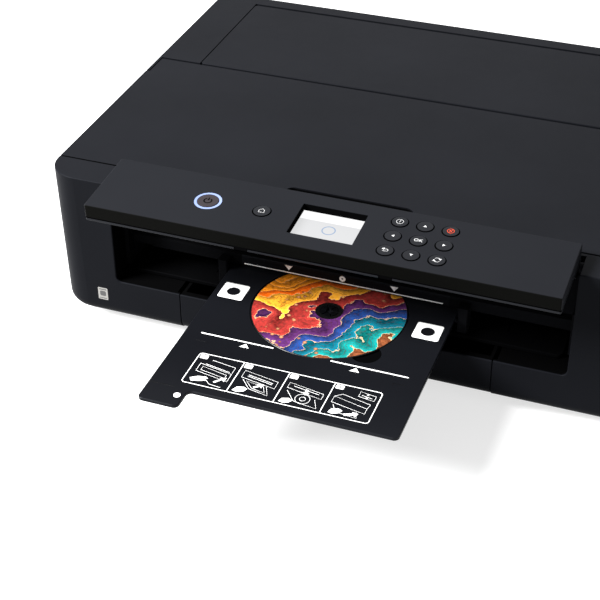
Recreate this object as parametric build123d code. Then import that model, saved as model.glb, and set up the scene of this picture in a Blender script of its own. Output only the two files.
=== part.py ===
from build123d import *
import math
import os

# Disc label printer: a wide photo printer whose front slot takes a tray with one disc on it.
# Millimetres. X is to the right, Y runs from the front face to the back, Z is up from the table.
# The control panel is raised and the disc tray is lined up with its marks, ready to print.

# ---- driving sizes -----------------------------------------------------------------------

gap = 0.3  # what keeps two pieces of a seat apart
shaft_clearance = 0.05  # radial clearance of a shaft in its bearing
slide_clearance = 0.5  # beside a drawer in its channel

body_width = 479.0
body_depth = 369.0
top_z = 136.5
case_floor_z = 10.0
case_wall = 3.0
side_draft = 3.0  # the case is this much narrower on each side at its foot
front_corner_radius = 26.0
rear_corner_radius = 18.0
foot_edge_radius = 11.0
deck_edge_radius = 1.0

pan_bottom_z = 4.0
pan_wall = 2.5
pan_side_height = 18.0
pan_inset = 15.5
pan_lip = 3.0  # of the pan under the case
pan_corner_radius = 4.0
rib_height = 8.2
foot_radius = 9.0
foot_inset_x = 42.0
foot_inset_y = 34.0

opening_clearance = 3.1  # between the panel and each side of the front recess
opening_corner_radius = 5.0
opening_rim_radius = 0.8
sill_z = 46.0
recess_depth = 25.0
deck_depth = 28.2
beam_height = 16.5
jamb_depth = 52.0
lid_seam = 1.2
rear_seam = 2.4
lid_back = 216.0
lid_thickness = 2.5
lid_rim = 6.0
grip_half = 51.0  # finger pocket in the front edge of the top cover
grip_depth = 15.4
cheek_reach = 15.0  # how far before its pivots the top cover's sides end at the case's cheeks

panel_width = 360.4
panel_depth = 66.0
face_skirt = 10.8
face_thickness = 2.5
skirt_thickness = 2.2
back_thickness = 2.9
shell_seam = 0.5
panel_corner_radius = 1.5
panel_raised_angle = 86.15
panel_pivot_y = 17.5
panel_pivot_drop = 5.4  # pivot below the top of the case
hinge_pin_radius = 2.5
pin_head_radius = 4.0
ear_radius = 5.0
ear_width = 6.0
panel_heel_depth = 24.0  # the wedge that fills the recess above the closed panel
panel_heel_radius = 4.0
snap_tab_x = 54.8
snap_tab_width = 9.6
snap_tab_depth = 2.6

window_width = 50.0
window_height = 37.8
window_x = 0.6
window_bottom = 14.3
screen_recess = 6.4
screen_thickness = 3.0
window_wall = 1.4
board_thickness = 1.6
board_depth = 8.2  # from the panel's face to the front of its board

key_pitch_x = 19.0
key_pitch_y = 18.0
keypad_x = 69.0
keypad_y = 33.2
key_radius = 6.1
home_key_radius = 6.6
home_key_x = -50.5
power_key_x = -93.5
power_key_radius = 8.2
light_ring_width = 1.9
key_gap = 0.7
key_thickness = 3.0
key_travel = 0.8
key_stem_radius = 2.5

disc_radius = 60.0
disc_hole_radius = 7.5
disc_thickness = 1.2
disc_y = -4.3
tray_width = 186.4
tray_thickness = 2.5
tray_top_z = 64.3
tray_front = 129.6  # how far the tray's front edge stands out of the front face
tray_tab = 18.9
tray_tab_width = 31.0
tray_back = 84.0
tray_corner_radius = 4.0
recess_floor = 0.9
finger_notch_radius = 11.5
finger_notch_depth = 1.9
hub_radius = 7.2
hub_slot = 1.0
hub_rise = 0.3
tray_side_clearance = 0.7
tray_lift_clearance = 1.5

guide_lip_y = 29.5
guide_slope_run = 19.5
guide_slope_rise = 28.2
guide_wall = 2.5
lip_step_width = 20.0
lip_step_height = 1.7
post_width = 8.1
post_front_y = 20.0
post_drop = 13.3
ledge_width = 7.0
ledge_thickness = 2.9
end_rib_width = 3.5
end_rib_height = 35.0

cassette_half = 127.3
cassette_gap = 0.6
cassette_front_thickness = 6.0
cassette_back_clearance = 64.0
cassette_height = 31.0
cassette_wall = 2.5
paper_guide_half = 108.5
paper_guide_length = 90.0
paper_guide_height = 22.0
paper_guide_thickness = 2.5

floor_plate = 2.5
floor_length = 140.0
output_front_y = 18.5
output_length = 118.0
output_side_clearance = 7.3
output_thickness = 3.0
output_rail_inset = 16.0
output_rail_width = 6.0
extension_half = 70.0
extension_thickness = 1.6
extension_length = 100.0

frame_inset = 23.0
frame_thickness = 1.5
frame_front_y = 56.0
frame_back_y = 206.0
frame_top_z = 126.0
frame_foot = 12.0

rail_y = 158.0
rail_bottom_z = 78.0
rail_sheet = 1.5
rod_radius = 4.0
rod_y = 141.0
rod_z = 84.0

platen_front_y = 82.0
platen_back_y = 140.0
platen_plate = 3.5
platen_rib = 1.6
platen_rib_pitch = 24.0
platen_rib_height = 5.5

feed_y = 152.0
feed_radius = 7.5
feed_shaft_radius = 4.0
exit_radius = 5.0
exit_shaft_radius = 3.0
exit_y = 70.6
exit_roller_width = 12.0
exit_roller_count = 8
gear_module = 1.5
feed_teeth = 32
idler_teeth = 28
exit_teeth = 21
pinion_teeth = 12
gear_width = 6.0
gear_inset = 11.0  # of the middle of the gears, outside the left side frame
gear_backlash = 0.18
gear_addendum = 0.8
gear_dedendum = 1.15
pressure_angle = 20.0
feed_motor_angle = -25.0
feed_motor_radius = 15.0
feed_motor_length = 28.0
motor_shaft_radius = 2.0
stud_radius = 3.0

pinch_radius = 4.0
pinch_count = 6
star_radius = 4.5
star_thickness = 1.2

belt_z = 100.0
belt_thickness = 0.9
belt_width = 5.0
belt_y = 150.5
pulley_radius = 6.8
pulley_flange = 2.2
drive_pulley_inset = 43.5
idler_pulley_inset = 35.5
carriage_motor_radius = 17.0
carriage_motor_length = 26.0

carriage_inset = 89.5
carriage_width = 104.0
carriage_front_y = 86.0
carriage_back_y = 133.0
carriage_bottom_z = 68.4
carriage_height = 39.0
carriage_wall = 2.0
cartridge_count = 6
cartridge_clearance = 0.5
cartridge_rise = 5.0
head_thickness = 1.8

chute_inset = 27.4
chute_low_z = 70.0
chute_length = 104.0
chute_back_clearance = 29.0
chute_high_z = 126.0
chute_plate = 2.5
chute_side_height = 9.0
edge_guide_inset = 34.4
edge_guide_length = 55.0
edge_guide_height = 13.0
edge_guide_thickness = 3.0

flap_inset = 40.1
flap_seam = 0.6
flap_back_clearance = 17.6
back_cover_half = 149.4
back_cover_low_z = 22.6
back_cover_high_z = 111.4
back_rib_count = 7
back_rib_depth = 30.0

inlet_inset = 43.5
inlet_z = 38.0
inlet_width = 16.0
inlet_height = 9.0
inlet_depth = 14.0
inlet_neck = 7.0
port_inset = 42.5
usb_z = 44.0
lan_z = 66.0
board_length = 128.0
board_low_z = 22.0
board_high_z = 112.0
board_back_clearance = 13.0
socket_length = 24.4
supply_width = 58.0
supply_length = 126.0
supply_height = 42.0
supply_inset = 26.5
supply_back_clearance = 21.0
supply_vent = 4.0
pad_height = 20.0
pad_front_y = 60.0
pad_length = 140.0
pad_inset = 39.5

# ---- places worked out from them ---------------------------------------------------------

half_body = body_width / 2
pan_floor_z = pan_bottom_z + pan_wall
rib_top_z = pan_floor_z + rib_height
tray_bottom_z = tray_top_z - tray_thickness
tray_half = tray_width / 2
tray_reach = tray_front + tray_tab
lip_z = tray_top_z + tray_lift_clearance
lid_front = deck_depth + lid_seam
rear_deck_y = lid_back + rear_seam
panel_half = panel_width / 2
opening_half = panel_half + opening_clearance
output_half = opening_half - output_side_clearance
output_rail_x = output_half - output_rail_inset
cassette_length = body_depth - cassette_back_clearance
frame_x = half_body - frame_inset
gear_x = half_body - gear_inset
drive_pulley_x = -(half_body - drive_pulley_inset)
idler_pulley_x = half_body - idler_pulley_inset
carriage_x = half_body - carriage_inset
flap_half = half_body - flap_inset
flap_back = body_depth - flap_back_clearance
chute_half = flap_half - chute_inset
edge_guide_half = flap_half - edge_guide_inset
chute_high_y = body_depth - chute_back_clearance
chute_low_y = chute_high_y - chute_length
inlet_x = -(half_body - inlet_inset)
port_x = half_body - port_inset
panel_top_z = top_z - gap
panel_low_z = panel_top_z - panel_depth
panel_pivot_z = top_z - panel_pivot_drop
panel_thickness = face_skirt + shell_seam + back_thickness
lid_pivot_y = lid_back - 12.0
lid_pivot_z = top_z - 7.5
cheek_y = lid_pivot_y - cheek_reach
lid_tail_half = half_body - side_draft - case_wall + 1.9  # the rear of the lid, between the cheeks
flap_pivot_y = flap_back - 4.4
flap_pivot_z = top_z - 5.0
feed_z = tray_bottom_z - gap - feed_radius
exit_z = tray_bottom_z - gap - exit_radius
platen_top_z = tray_bottom_z - gap
platen_low_z = platen_top_z - platen_rib_height - platen_plate
output_low_z = sill_z + 1.0
lid_bracket_x = (half_body - 21.0, half_body - 17.0)
channel_half = cassette_half - gap + slide_clearance
chute_slope = math.degrees(math.atan2(chute_high_z - chute_low_z, chute_high_y - chute_low_y))
origin_shift = -(body_depth - tray_reach) / 2  # brings the middle of the whole to Y = 0


def pitch_radius(teeth):
    return gear_module * teeth / 2


def meeting_point(a, b, reach_a, reach_b):
    """The point at these distances from a and b in the YZ plane, above the line through them."""
    span = math.dist(a, b)
    along = (reach_a**2 - reach_b**2 + span**2) / (2 * span)
    off = math.sqrt(max(reach_a**2 - along**2, 0.0))
    uy, uz = (b[0] - a[0]) / span, (b[1] - a[1]) / span
    return (a[0] + uy * along + uz * off, a[1] + uz * along - uy * off)


feed_at = (feed_y, feed_z)
exit_at = (exit_y, exit_z)
idler_at = meeting_point(
    feed_at,
    exit_at,
    pitch_radius(feed_teeth) + pitch_radius(idler_teeth),
    pitch_radius(exit_teeth) + pitch_radius(idler_teeth),
)
pinion_reach = pitch_radius(feed_teeth) + pitch_radius(pinion_teeth)
pinion_at = (
    feed_y + pinion_reach * math.cos(math.radians(feed_motor_angle)),
    feed_z + pinion_reach * math.sin(math.radians(feed_motor_angle)),
)


# ---- helpers -----------------------------------------------------------------------------


def block(x, y, z):
    """A box between two limits along each axis."""
    middle = [(low + high) / 2 for low, high in (x, y, z)]
    return Pos(*middle) * Box(*[high - low for low, high in (x, y, z)])


def both_sides(piece):
    """The piece and its mirror image across the middle plane."""
    return piece + mirror(piece, about=Plane.YZ)


def profile_along_x(points, x):
    """A closed YZ outline, carried along X between two limits."""
    outline = Plane.YZ.offset(x[0]) * Polygon(*points, align=None)
    return extrude(outline, amount=x[1] - x[0], dir=(1, 0, 0))


def rod_x(radius, x, at):
    return Pos((x[0] + x[1]) / 2, *at) * Rot(0, 90, 0) * Cylinder(radius, x[1] - x[0])


def rod_y_axis(radius, y, at):
    x, z = at
    return Pos(x, (y[0] + y[1]) / 2, z) * Rot(90, 0, 0) * Cylinder(radius, y[1] - y[0])


def half_width_at(z):
    """Half the width of the case at a height: its sides lean out towards the top."""
    share = (z - case_floor_z) / (top_z - case_floor_z)
    return half_body - side_draft * (1 - share)


def case_outline(z, inset):
    """The plan of the case at a height, with its rounded corners."""
    width = 2 * (half_width_at(z) - inset)
    plan = Pos(0, body_depth / 2) * Rectangle(width, body_depth - 2 * inset)
    plan = fillet(plan.vertices().group_by(Axis.Y)[0], front_corner_radius - inset)
    plan = fillet(plan.vertices().group_by(Axis.Y)[-1], rear_corner_radius - inset)
    return Pos(0, 0, z) * plan


def case_form(low, high, inset):
    return loft([case_outline(low, inset), case_outline(high, inset)], ruled=True)


# ---- case --------------------------------------------------------------------------------


def outer_case():
    """The one-piece outer moulding: sides, front with its recess, deck strips and back."""
    form = case_form(case_floor_z, top_z, 0)
    form = fillet(form.edges().group_by(Axis.Z)[0], foot_edge_radius)
    form = fillet(form.edges().group_by(Axis.Z)[-1], deck_edge_radius)
    hollow = case_form(case_floor_z + case_wall, top_z - case_wall, case_wall)
    hollow = fillet(hollow.edges().group_by(Axis.Z)[0], foot_edge_radius - case_wall)
    case = form - hollow

    beyond = half_body + 1
    recess = (-opening_half, opening_half)
    case += both_sides(
        block(
            (opening_half, opening_half + case_wall),
            (case_wall / 2, jamb_depth),
            (pan_side_height + gap, top_z - case_wall),
        )
    )
    way_in = block(recess, (-1, deck_depth), (sill_z, top_z + 1))
    case -= fillet(way_in.edges().filter_by(Axis.Y).group_by(Axis.Z)[0], opening_corner_radius)
    beam_low = top_z - beam_height
    case += block(recess, (recess_depth, deck_depth), (beam_low, top_z))
    grip = (-grip_half, grip_half)
    case -= block(grip, (recess_depth - 1, deck_depth + 1), (top_z - 10, top_z + 1))

    lid_bay_z = (top_z - lid_rim - gap, top_z + 1)
    case -= block((-beyond, beyond), (deck_depth, cheek_y + rear_seam), lid_bay_z)
    tail = (-lid_tail_half - lid_seam, lid_tail_half + lid_seam)
    case -= block(tail, (deck_depth, rear_deck_y), lid_bay_z)
    flap_bay = (-flap_half - flap_seam, flap_half + flap_seam)
    case -= block(flap_bay, (rear_deck_y - 1, flap_back + 3.0), (top_z - case_wall - 1, top_z + 1))

    mouth = (-cassette_half - cassette_gap, cassette_half + cassette_gap)
    case -= block(mouth, (-1, case_wall + 1), (case_floor_z - 1, sill_z + 1))
    case -= block(mouth, (-1, foot_edge_radius + 1), (case_floor_z - 1, case_floor_z + foot_edge_radius + 1))
    floor_half = half_body - pan_inset + gap
    floor_z = (case_floor_z - 1, case_floor_z + case_wall + 0.01)
    case -= block((-floor_half, floor_half), (pan_inset - gap, body_depth - pan_inset + gap), floor_z)
    case -= block(mouth, (-1, pan_inset), floor_z)

    through_back = (body_depth - case_wall - 1, body_depth + 1)
    cover = back_cover_half + flap_seam
    case -= block(
        (-cover, cover), through_back, (back_cover_low_z - flap_seam, back_cover_high_z + flap_seam)
    )
    case -= block(
        (inlet_x - inlet_width / 2 - gap, inlet_x + inlet_width / 2 + gap),
        through_back,
        (inlet_z - inlet_height / 2 - gap, inlet_z + inlet_height / 2 + gap),
    )
    case -= block((port_x - 10, port_x + 10), through_back, (usb_z - 8, lan_z + 9))

    pivot = (panel_pivot_y, panel_pivot_z)
    pin_hole = hinge_pin_radius + shaft_clearance
    jamb_x = (opening_half - 1, opening_half + case_wall + 1)
    case -= both_sides(rod_x(pin_hole, jamb_x, pivot))
    head_x = (opening_half + case_wall, opening_half + case_wall + 3)
    case -= both_sides(rod_x(pin_head_radius + gap, head_x, pivot))
    case += both_sides(hinge_bracket(lid_bracket_x, lid_pivot_y, lid_pivot_z))
    case += both_sides(flap_eye())
    case += both_sides(output_shelf())
    flap_hole_x = (flap_half + flap_seam, flap_half + flap_seam + 4.6)
    case -= both_sides(rod_x(pin_hole, flap_hole_x, (flap_pivot_y, flap_pivot_z)))
    return fillet(front_rim(case), opening_rim_radius)


def front_rim(case):
    """The edges of the recess in the front face."""
    rim = case.edges().filter_by_position(Axis.Y, -0.01, 0.01)
    rim = rim.filter_by_position(Axis.X, -opening_half - 0.1, opening_half + 0.1)
    return rim.filter_by_position(Axis.Z, sill_z - 0.1, top_z - deck_edge_radius - 0.1)


def output_shelf():
    """A ledge beside the cassette that the output tray runs on."""
    return block(
        (channel_half + case_wall, opening_half + 0.1),
        (case_wall - 0.1, floor_length),
        (sill_z - floor_plate, sill_z),
    )


def flap_eye():
    """An eye under the rear deck that takes one pin of the paper feed cover."""
    x = (flap_half + flap_seam + 0.3, flap_half + flap_seam + 4.3)
    eye = rod_x(ear_radius - 0.5, x, (flap_pivot_y, flap_pivot_z))
    return eye + block(x, (flap_pivot_y - 4.5, flap_pivot_y + 4.5), (flap_pivot_z, top_z - 2.5))


def hinge_bracket(x, y, z):
    """A goose-neck under the rear deck that takes one pin of the top cover."""
    low = z - 16.0
    web = profile_along_x(
        [
            (rear_deck_y + 8, top_z - case_wall + 0.1),
            (rear_deck_y + 8, low),
            (y - 3.5, low),
            (y - 3.5, z),
            (y + 3.5, z),
            (y + 3.5, low + 6),
            (rear_deck_y + 0.6, low + 6),
            (rear_deck_y + 0.6, top_z - case_wall + 0.1),
        ],
        x,
    )
    eye = rod_x(ear_radius - 0.5, x, (y, z))
    return web + eye - rod_x(hinge_pin_radius + shaft_clearance, (x[0] - 1, x[1] + 1), (y, z))


def base_pan():
    """The lower pan: floor, walls, runners of the cassette and seats of the feet."""
    half = half_body - pan_inset
    y = (pan_inset, body_depth - pan_inset)
    pan = block((-half, half), y, (pan_bottom_z, pan_side_height))
    pan = fillet(pan.edges().filter_by(Axis.Z), pan_corner_radius)
    inner_y = (y[0] + pan_wall, y[1] - pan_wall)
    inside = (-half + pan_wall, half - pan_wall)
    pan -= block(inside, inner_y, (pan_floor_z, pan_side_height + 1))
    flange_y = (y[0] - pan_lip, y[1] + pan_lip)
    flange_z = (case_floor_z - gap - pan_wall, case_floor_z - gap)
    flange = block((-half - pan_lip, half + pan_lip), flange_y, flange_z)
    flange = fillet(flange.edges().filter_by(Axis.Z), front_corner_radius - pan_inset + pan_lip)
    pan += flange - block(inside, inner_y, (0, pan_side_height))
    mouth = (-channel_half, channel_half)
    pan -= block(mouth, (0, pan_inset + pan_wall + 1), (rib_top_z, pan_side_height + 1))
    for x in (-105.0, -35.0, 35.0, 105.0):
        pan += block((x - 1.5, x + 1.5), (y[0] + 1, y[1] - 1), (pan_floor_z - 0.1, rib_top_z))
    wall_x = (channel_half, channel_half + pan_wall)
    pan += both_sides(block(wall_x, (22.0, cassette_length), (pan_floor_z - 0.1, sill_z - 12)))
    return pan


def rubber_feet():
    foot = Pos(0, 0, pan_bottom_z / 2) * Cylinder(foot_radius, pan_bottom_z)
    foot = chamfer(foot.edges().group_by(Axis.Z)[0], 0.8)
    feet = []
    for x in (-half_body + foot_inset_x, half_body - foot_inset_x):
        for y in (foot_inset_y, body_depth - foot_inset_y):
            feet.append(Pos(x, y, 0) * foot)
    return Compound(children=feet)


def back_cover():
    """The removable cover of the paper turn at the back, with its guide ribs."""
    half = back_cover_half
    inner_y = body_depth - case_wall
    cover = block((-half, half), (inner_y, body_depth), (back_cover_low_z, back_cover_high_z))
    for x in (-half + 24, half - 24):
        grip = (x - 11, x + 11)
        cover -= block(grip, (body_depth - 1.6, body_depth + 1), (86.0, 100.0))
    rib = profile_along_x(
        [
            (inner_y + 0.1, back_cover_low_z + 6),
            (inner_y + 0.1, back_cover_high_z - 6),
            (inner_y - back_rib_depth + 4, back_cover_high_z - 8),
            (inner_y - 12, back_cover_high_z - 26),
            (inner_y - 8, (back_cover_low_z + back_cover_high_z) / 2),
            (inner_y - 12, back_cover_low_z + 26),
            (inner_y - back_rib_depth + 4, back_cover_low_z + 8),
        ],
        (-1, 1),
    )
    pitch = 2 * (half - 18) / (back_rib_count - 1)
    for number in range(back_rib_count):
        cover += Pos(-half + 18 + number * pitch, 0, 0) * rib
    return cover


def top_cover():
    """The printer cover: a shallow lid with a finger well and two hinge arms."""
    y = (lid_front, lid_back)
    low_z = top_z - lid_rim
    beyond = half_body + 1
    lid = case_form(case_floor_z, top_z, 0) & block((-beyond, beyond), y, (low_z, top_z + 1))
    lid = fillet(lid.edges().filter_by(Axis.Y).group_by(Axis.Z)[-1], deck_edge_radius)
    lid = chamfer(lid.edges().filter_by(Axis.X).group_by(Axis.Z)[-1], 0.5)
    lid -= both_sides(block((lid_tail_half, beyond), (cheek_y, y[1] + 1), (low_z - 1, top_z + 1)))
    inner_half = half_width_at(low_z) - lid_thickness
    inner_y = (y[0] + lid_thickness, y[1] - lid_thickness)
    lid -= block((-inner_half, inner_half), inner_y, (low_z - 1, top_z - lid_thickness))
    well_y = (y[0] - 1, y[0] + grip_depth)
    well_z = (top_z - 10, top_z + 1)
    wall = 1.8
    shell = block((-grip_half - wall, grip_half + wall), (y[0], well_y[1] + wall), (well_z[0] - wall, top_z - 1))
    well = block((-grip_half, grip_half), well_y, well_z)
    well = fillet(well.edges().filter_by(Axis.Z).group_by(Axis.Y)[-1], 7.0)
    well = fillet(well.edges().group_by(Axis.Z)[0].sort_by(Axis.Y)[-1], 3.0)
    lid += shell
    lid -= well
    for number in range(-3, 4):
        x = number * 60.0
        if abs(x) > grip_half + wall:
            rib = block((x - 1, x + 1), inner_y, (top_z - lid_thickness - 2, top_z - lid_thickness + 0.1))
            lid += rib
    arm_x = (lid_bracket_x[0] - gap - 4.0, lid_bracket_x[0] - gap)
    arm = rod_x(ear_radius - 0.5, arm_x, (lid_pivot_y, lid_pivot_z))
    arm += block(
        arm_x,
        (lid_pivot_y - 4.5, lid_pivot_y + 4.5),
        (lid_pivot_z, top_z - lid_thickness + 0.1),
    )
    pin = rod_x(hinge_pin_radius, (arm_x[0] + 1, lid_bracket_x[1]), (lid_pivot_y, lid_pivot_z))
    return lid + both_sides(arm + pin)


def feed_cover():
    """The cover of the rear paper feed, hinged along its back edge."""
    y = (rear_deck_y + flap_seam, flap_back)
    flap = block((-flap_half, flap_half), y, (top_z - lid_rim, top_z))
    flap = fillet(flap.edges().filter_by(Axis.Z), 3.0)
    flap = chamfer(flap.edges().group_by(Axis.Z)[-1], 0.5)
    inside = (-flap_half + lid_thickness, flap_half - lid_thickness)
    inner_y = (y[0] + lid_thickness, y[1] - lid_thickness)
    flap -= block(inside, inner_y, (0, top_z - lid_thickness))
    for number in range(-2, 3):
        x = number * 66.0
        flap += block((x - 1, x + 1), inner_y, (top_z - lid_thickness - 2, top_z - lid_thickness + 0.1))
    eye = flap_half + flap_seam + 4.3
    pin = rod_x(hinge_pin_radius, (flap_half - 5, eye), (flap_pivot_y, flap_pivot_z))
    boss = rod_x(ear_radius - 0.6, (flap_half - 6, flap_half), (flap_pivot_y, flap_pivot_z))
    return flap + both_sides(pin + boss)


# ---- control panel, drawn closed: its face looks forward --------------------------------


def panel_block(x, up, behind):
    """A box on the panel: limits across it, up its face and behind its face."""
    return block(x, behind, (panel_low_z + up[0], panel_low_z + up[1]))


def panel_disc(radius, x, up, behind):
    return rod_y_axis(radius, behind, (x, panel_low_z + up))


def raised(piece):
    """The piece swung up from the closed panel to where it is read and used."""
    to_pivot = Pos(0, panel_pivot_y, panel_pivot_z)
    from_pivot = Pos(0, -panel_pivot_y, -panel_pivot_z)
    return to_pivot * Rot(-panel_raised_angle, 0, 0) * from_pivot * piece


def keypad_places():
    """The nine keys in rows from the top, each as a place on the panel."""
    places = []
    for row in (1, 0, -1):
        for column in (-1, 0, 1):
            places.append((keypad_x + column * key_pitch_x, keypad_y + row * key_pitch_y))
    return places


def panel_face():
    """The upper shell of the panel with its window, key holes and snap tabs."""
    across = (-panel_half, panel_half)
    shell = panel_block(across, (0, panel_depth), (0, face_skirt))
    shell = fillet(shell.edges().filter_by(Axis.Y), panel_corner_radius)
    shell = fillet(shell.edges().group_by(Axis.Y)[0], 0.8)
    inner = panel_half - skirt_thickness
    inner_up = (skirt_thickness, panel_depth - skirt_thickness)
    shell -= panel_block((-inner, inner), inner_up, (face_thickness, face_skirt + 1))
    window_x_limits = (window_x - window_width / 2, window_x + window_width / 2)
    window_up = (window_bottom, window_bottom + window_height)
    frame_x_limits = (window_x_limits[0] - window_wall, window_x_limits[1] + window_wall)
    frame_up = (window_up[0] - window_wall, window_up[1] + window_wall)
    shell += panel_block(frame_x_limits, frame_up, (face_thickness - 0.1, screen_recess - gap))
    shell -= panel_block(window_x_limits, window_up, (-1, screen_recess))
    through = (-1, face_thickness + 1)
    for x, up in keypad_places():
        shell -= panel_disc(key_radius + key_gap, x, up, through)
    shell -= panel_disc(home_key_radius + key_gap, home_key_x, keypad_y, through)
    ring_radius = power_key_radius + key_gap / 2 + light_ring_width
    shell -= panel_disc(ring_radius + 0.1, power_key_x, keypad_y, through)
    for x in (-snap_tab_x, snap_tab_x):
        tab_x = (x - snap_tab_width / 2, x + snap_tab_width / 2)
        tab_depth = (face_skirt - 0.1, face_skirt + snap_tab_depth)
        shell += panel_block(tab_x, (0, skirt_thickness), tab_depth)
    return shell


def panel_back():
    """The lower shell, with the heel that holds the hinge and fills the recess."""
    plate_low = face_skirt + shell_seam
    across = (-panel_half, panel_half)
    plate = panel_block(across, (0, panel_depth), (plate_low, panel_thickness))
    plate = fillet(plate.edges().filter_by(Axis.Y), panel_corner_radius)
    plate = fillet(plate.edges().group_by(Axis.Y)[-1], 1.4)
    for x in (-snap_tab_x, snap_tab_x):
        notch_x = (x - snap_tab_width / 2 - shell_seam, x + snap_tab_width / 2 + shell_seam)
        notch_up = (-1, skirt_thickness + shell_seam)
        notch_depth = (plate_low - 1, face_skirt + snap_tab_depth + shell_seam)
        plate -= panel_block(notch_x, notch_up, notch_depth)
    plate += heel(0, across)
    plate -= heel(2.4, (-panel_half + ear_width, panel_half - ear_width))
    board_back = board_depth + board_thickness
    plate += panel_block(
        (window_x - 18, window_x + 18),
        (window_bottom + 4, window_bottom + window_height - 4),
        (screen_recess + screen_thickness, plate_low + 0.1),
    )
    for x in (-98.0, -38.0, 36.0, 92.0):
        for up in (12.0, 54.0):
            plate += panel_disc(2.5, x, up, (board_back, plate_low + 0.1))
    pin_hole = rod_x(
        hinge_pin_radius + shaft_clearance,
        (panel_half - ear_width - 1, panel_half + 1),
        (panel_pivot_y, panel_pivot_z),
    )
    return plate - both_sides(pin_hole)


def heel(inset, x):
    """The wedge along the panel's hinge edge, shrunk by an inset for its hollow."""
    low = panel_low_z
    root = panel_thickness - 0.5 if inset == 0 else panel_thickness - 1.0
    top = low + panel_depth - inset
    outline = Plane.YZ.offset(x[0]) * Polygon(
        (root, low + 43 + 1.6 * inset),
        (panel_heel_depth - inset, low + 55 + 0.6 * inset),
        (panel_heel_depth - inset, top),
        (root, top),
        align=None,
    )
    outer = outline.vertices().group_by(Axis.Y)[-1].sort_by(Axis.Z)[-1]
    outline = fillet(outer, panel_heel_radius - inset / 2)
    return extrude(outline, amount=x[1] - x[0], dir=(1, 0, 0))


def lcd_screen():
    rim = 1.2
    half = window_width / 2 + rim
    screen = panel_block(
        (window_x - half, window_x + half),
        (window_bottom - rim, window_bottom + window_height + rim),
        (screen_recess, screen_recess + screen_thickness),
    )
    return chamfer(screen.edges().group_by(Axis.Y)[0], 0.3)


def power_light_ring():
    inner = power_key_radius + key_gap / 2
    behind = (-0.1, face_thickness + 0.5)
    ring = panel_disc(inner + light_ring_width, power_key_x, keypad_y, behind)
    return ring - panel_disc(inner, power_key_x, keypad_y, (-1, face_thickness + 1))


def panel_board():
    """The circuit board under the keys, open in the middle for the screen."""
    behind = (board_depth, board_depth + board_thickness)
    board = panel_block((-106.0, 98.0), (7.0, 59.0), behind)
    half = window_width / 2 + 2.2
    board -= panel_block(
        (window_x - half, window_x + half),
        (window_bottom - 2.2, window_bottom + window_height + 2.2),
        (board_depth - 1, board_depth + board_thickness + 1),
    )
    return fillet(board.edges().filter_by(Axis.Y), 1.5)


def key(x, up, radius):
    """A push key: a cap through the face, a collar under it and a stem to its switch."""
    proud = 0.5
    cap = panel_disc(radius, x, up, (-proud, key_thickness))
    cap = fillet(cap.edges().group_by(Axis.Y)[0], 0.45)
    collar_z = face_thickness + gap + 0.2
    cap += panel_disc(radius + 1.4, x, up, (collar_z, collar_z + 0.8))
    return cap + panel_disc(key_stem_radius, x, up, (collar_z, board_depth - key_travel - 0.2))


def panel_pins():
    """The two steel pins that the panel swings on, each with a collar and a head."""
    at = (panel_pivot_y, panel_pivot_z)
    inner = panel_half - ear_width + 1
    outer = opening_half + case_wall
    pin = rod_x(hinge_pin_radius, (inner, outer + 1.8), at)
    pin += rod_x(pin_head_radius, (panel_half + gap, opening_half - gap), at)
    pin += rod_x(pin_head_radius, (outer + gap, outer + 2.0), at)
    return Compound(children=[pin, mirror(pin, about=Plane.YZ)])


# ---- disc path ---------------------------------------------------------------------------


def disc_guide():
    """The bar over the disc slot, its two guide posts and the hangers of the star wheels."""
    half = opening_half - gap
    lip = guide_lip_y
    face_top = lip_z + 9.0
    slope_y = lip + guide_slope_run
    slope_z = face_top + guide_slope_rise
    wall = guide_wall
    bar = profile_along_x(
        [
            (lip, lip_z),
            (lip, face_top),
            (slope_y, slope_z),
            (slope_y + 3.0, slope_z),
            (slope_y + 3.0, slope_z - 1.0),
            (lip + wall, face_top - 1.0),
            (lip + wall, lip_z + wall),
            (lip + 10, lip_z + wall),
            (lip + 10, lip_z),
        ],
        (-half, half),
    )
    bar = chamfer(bar.edges().filter_by(Axis.X).group_by(Axis.Y)[0], 0.6)
    step_x = (-half - 1, -half + lip_step_width)
    bar -= block(step_x, (lip - 1, lip + 11), (lip_z - 1, lip_z + lip_step_height))
    inner = tray_half + tray_side_clearance
    post = block((inner, inner + post_width), (post_front_y, lip + wall), (tray_top_z - post_drop, face_top - 2))
    post = fillet(post.edges().filter_by(Axis.Z).group_by(Axis.Y)[0], 1.5)
    ledge_top = tray_bottom_z - gap
    post += block(
        (inner - ledge_width, inner + 0.1),
        (post_front_y + 1, lip + wall),
        (ledge_top - ledge_thickness, ledge_top),
    )
    bar += both_sides(post)
    end_rib = block(
        (half - end_rib_width, half), (lip - 9.5, lip + 0.1), (tray_top_z - 13.3, lip_z + end_rib_height - 13)
    )
    bar += both_sides(end_rib)
    arm_z = face_top + 0.2
    bar += block((-172.0, 172.0), (lip + 1, exit_y + 9), (arm_z, arm_z + 2.5))
    for x in star_hanger_places():
        hanger = block((x - 2, x + 2), (exit_y - 3.5, exit_y + 3.5), (star_z - 2.6, arm_z + 0.1))
        bar += hanger - rod_x(star_shaft_radius + shaft_clearance, (x - 3, x + 3), (exit_y, star_z))
    return bar


star_z = tray_top_z + gap + star_radius
star_shaft_radius = 1.2
roller_pitch = 42.0


def exit_roller_places():
    middle = (exit_roller_count - 1) / 2
    return [(number - middle) * roller_pitch for number in range(exit_roller_count)]


def star_hanger_places():
    return [place + roller_pitch / 2 for place in exit_roller_places()[:-1]] + [-168.0, 168.0]


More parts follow.
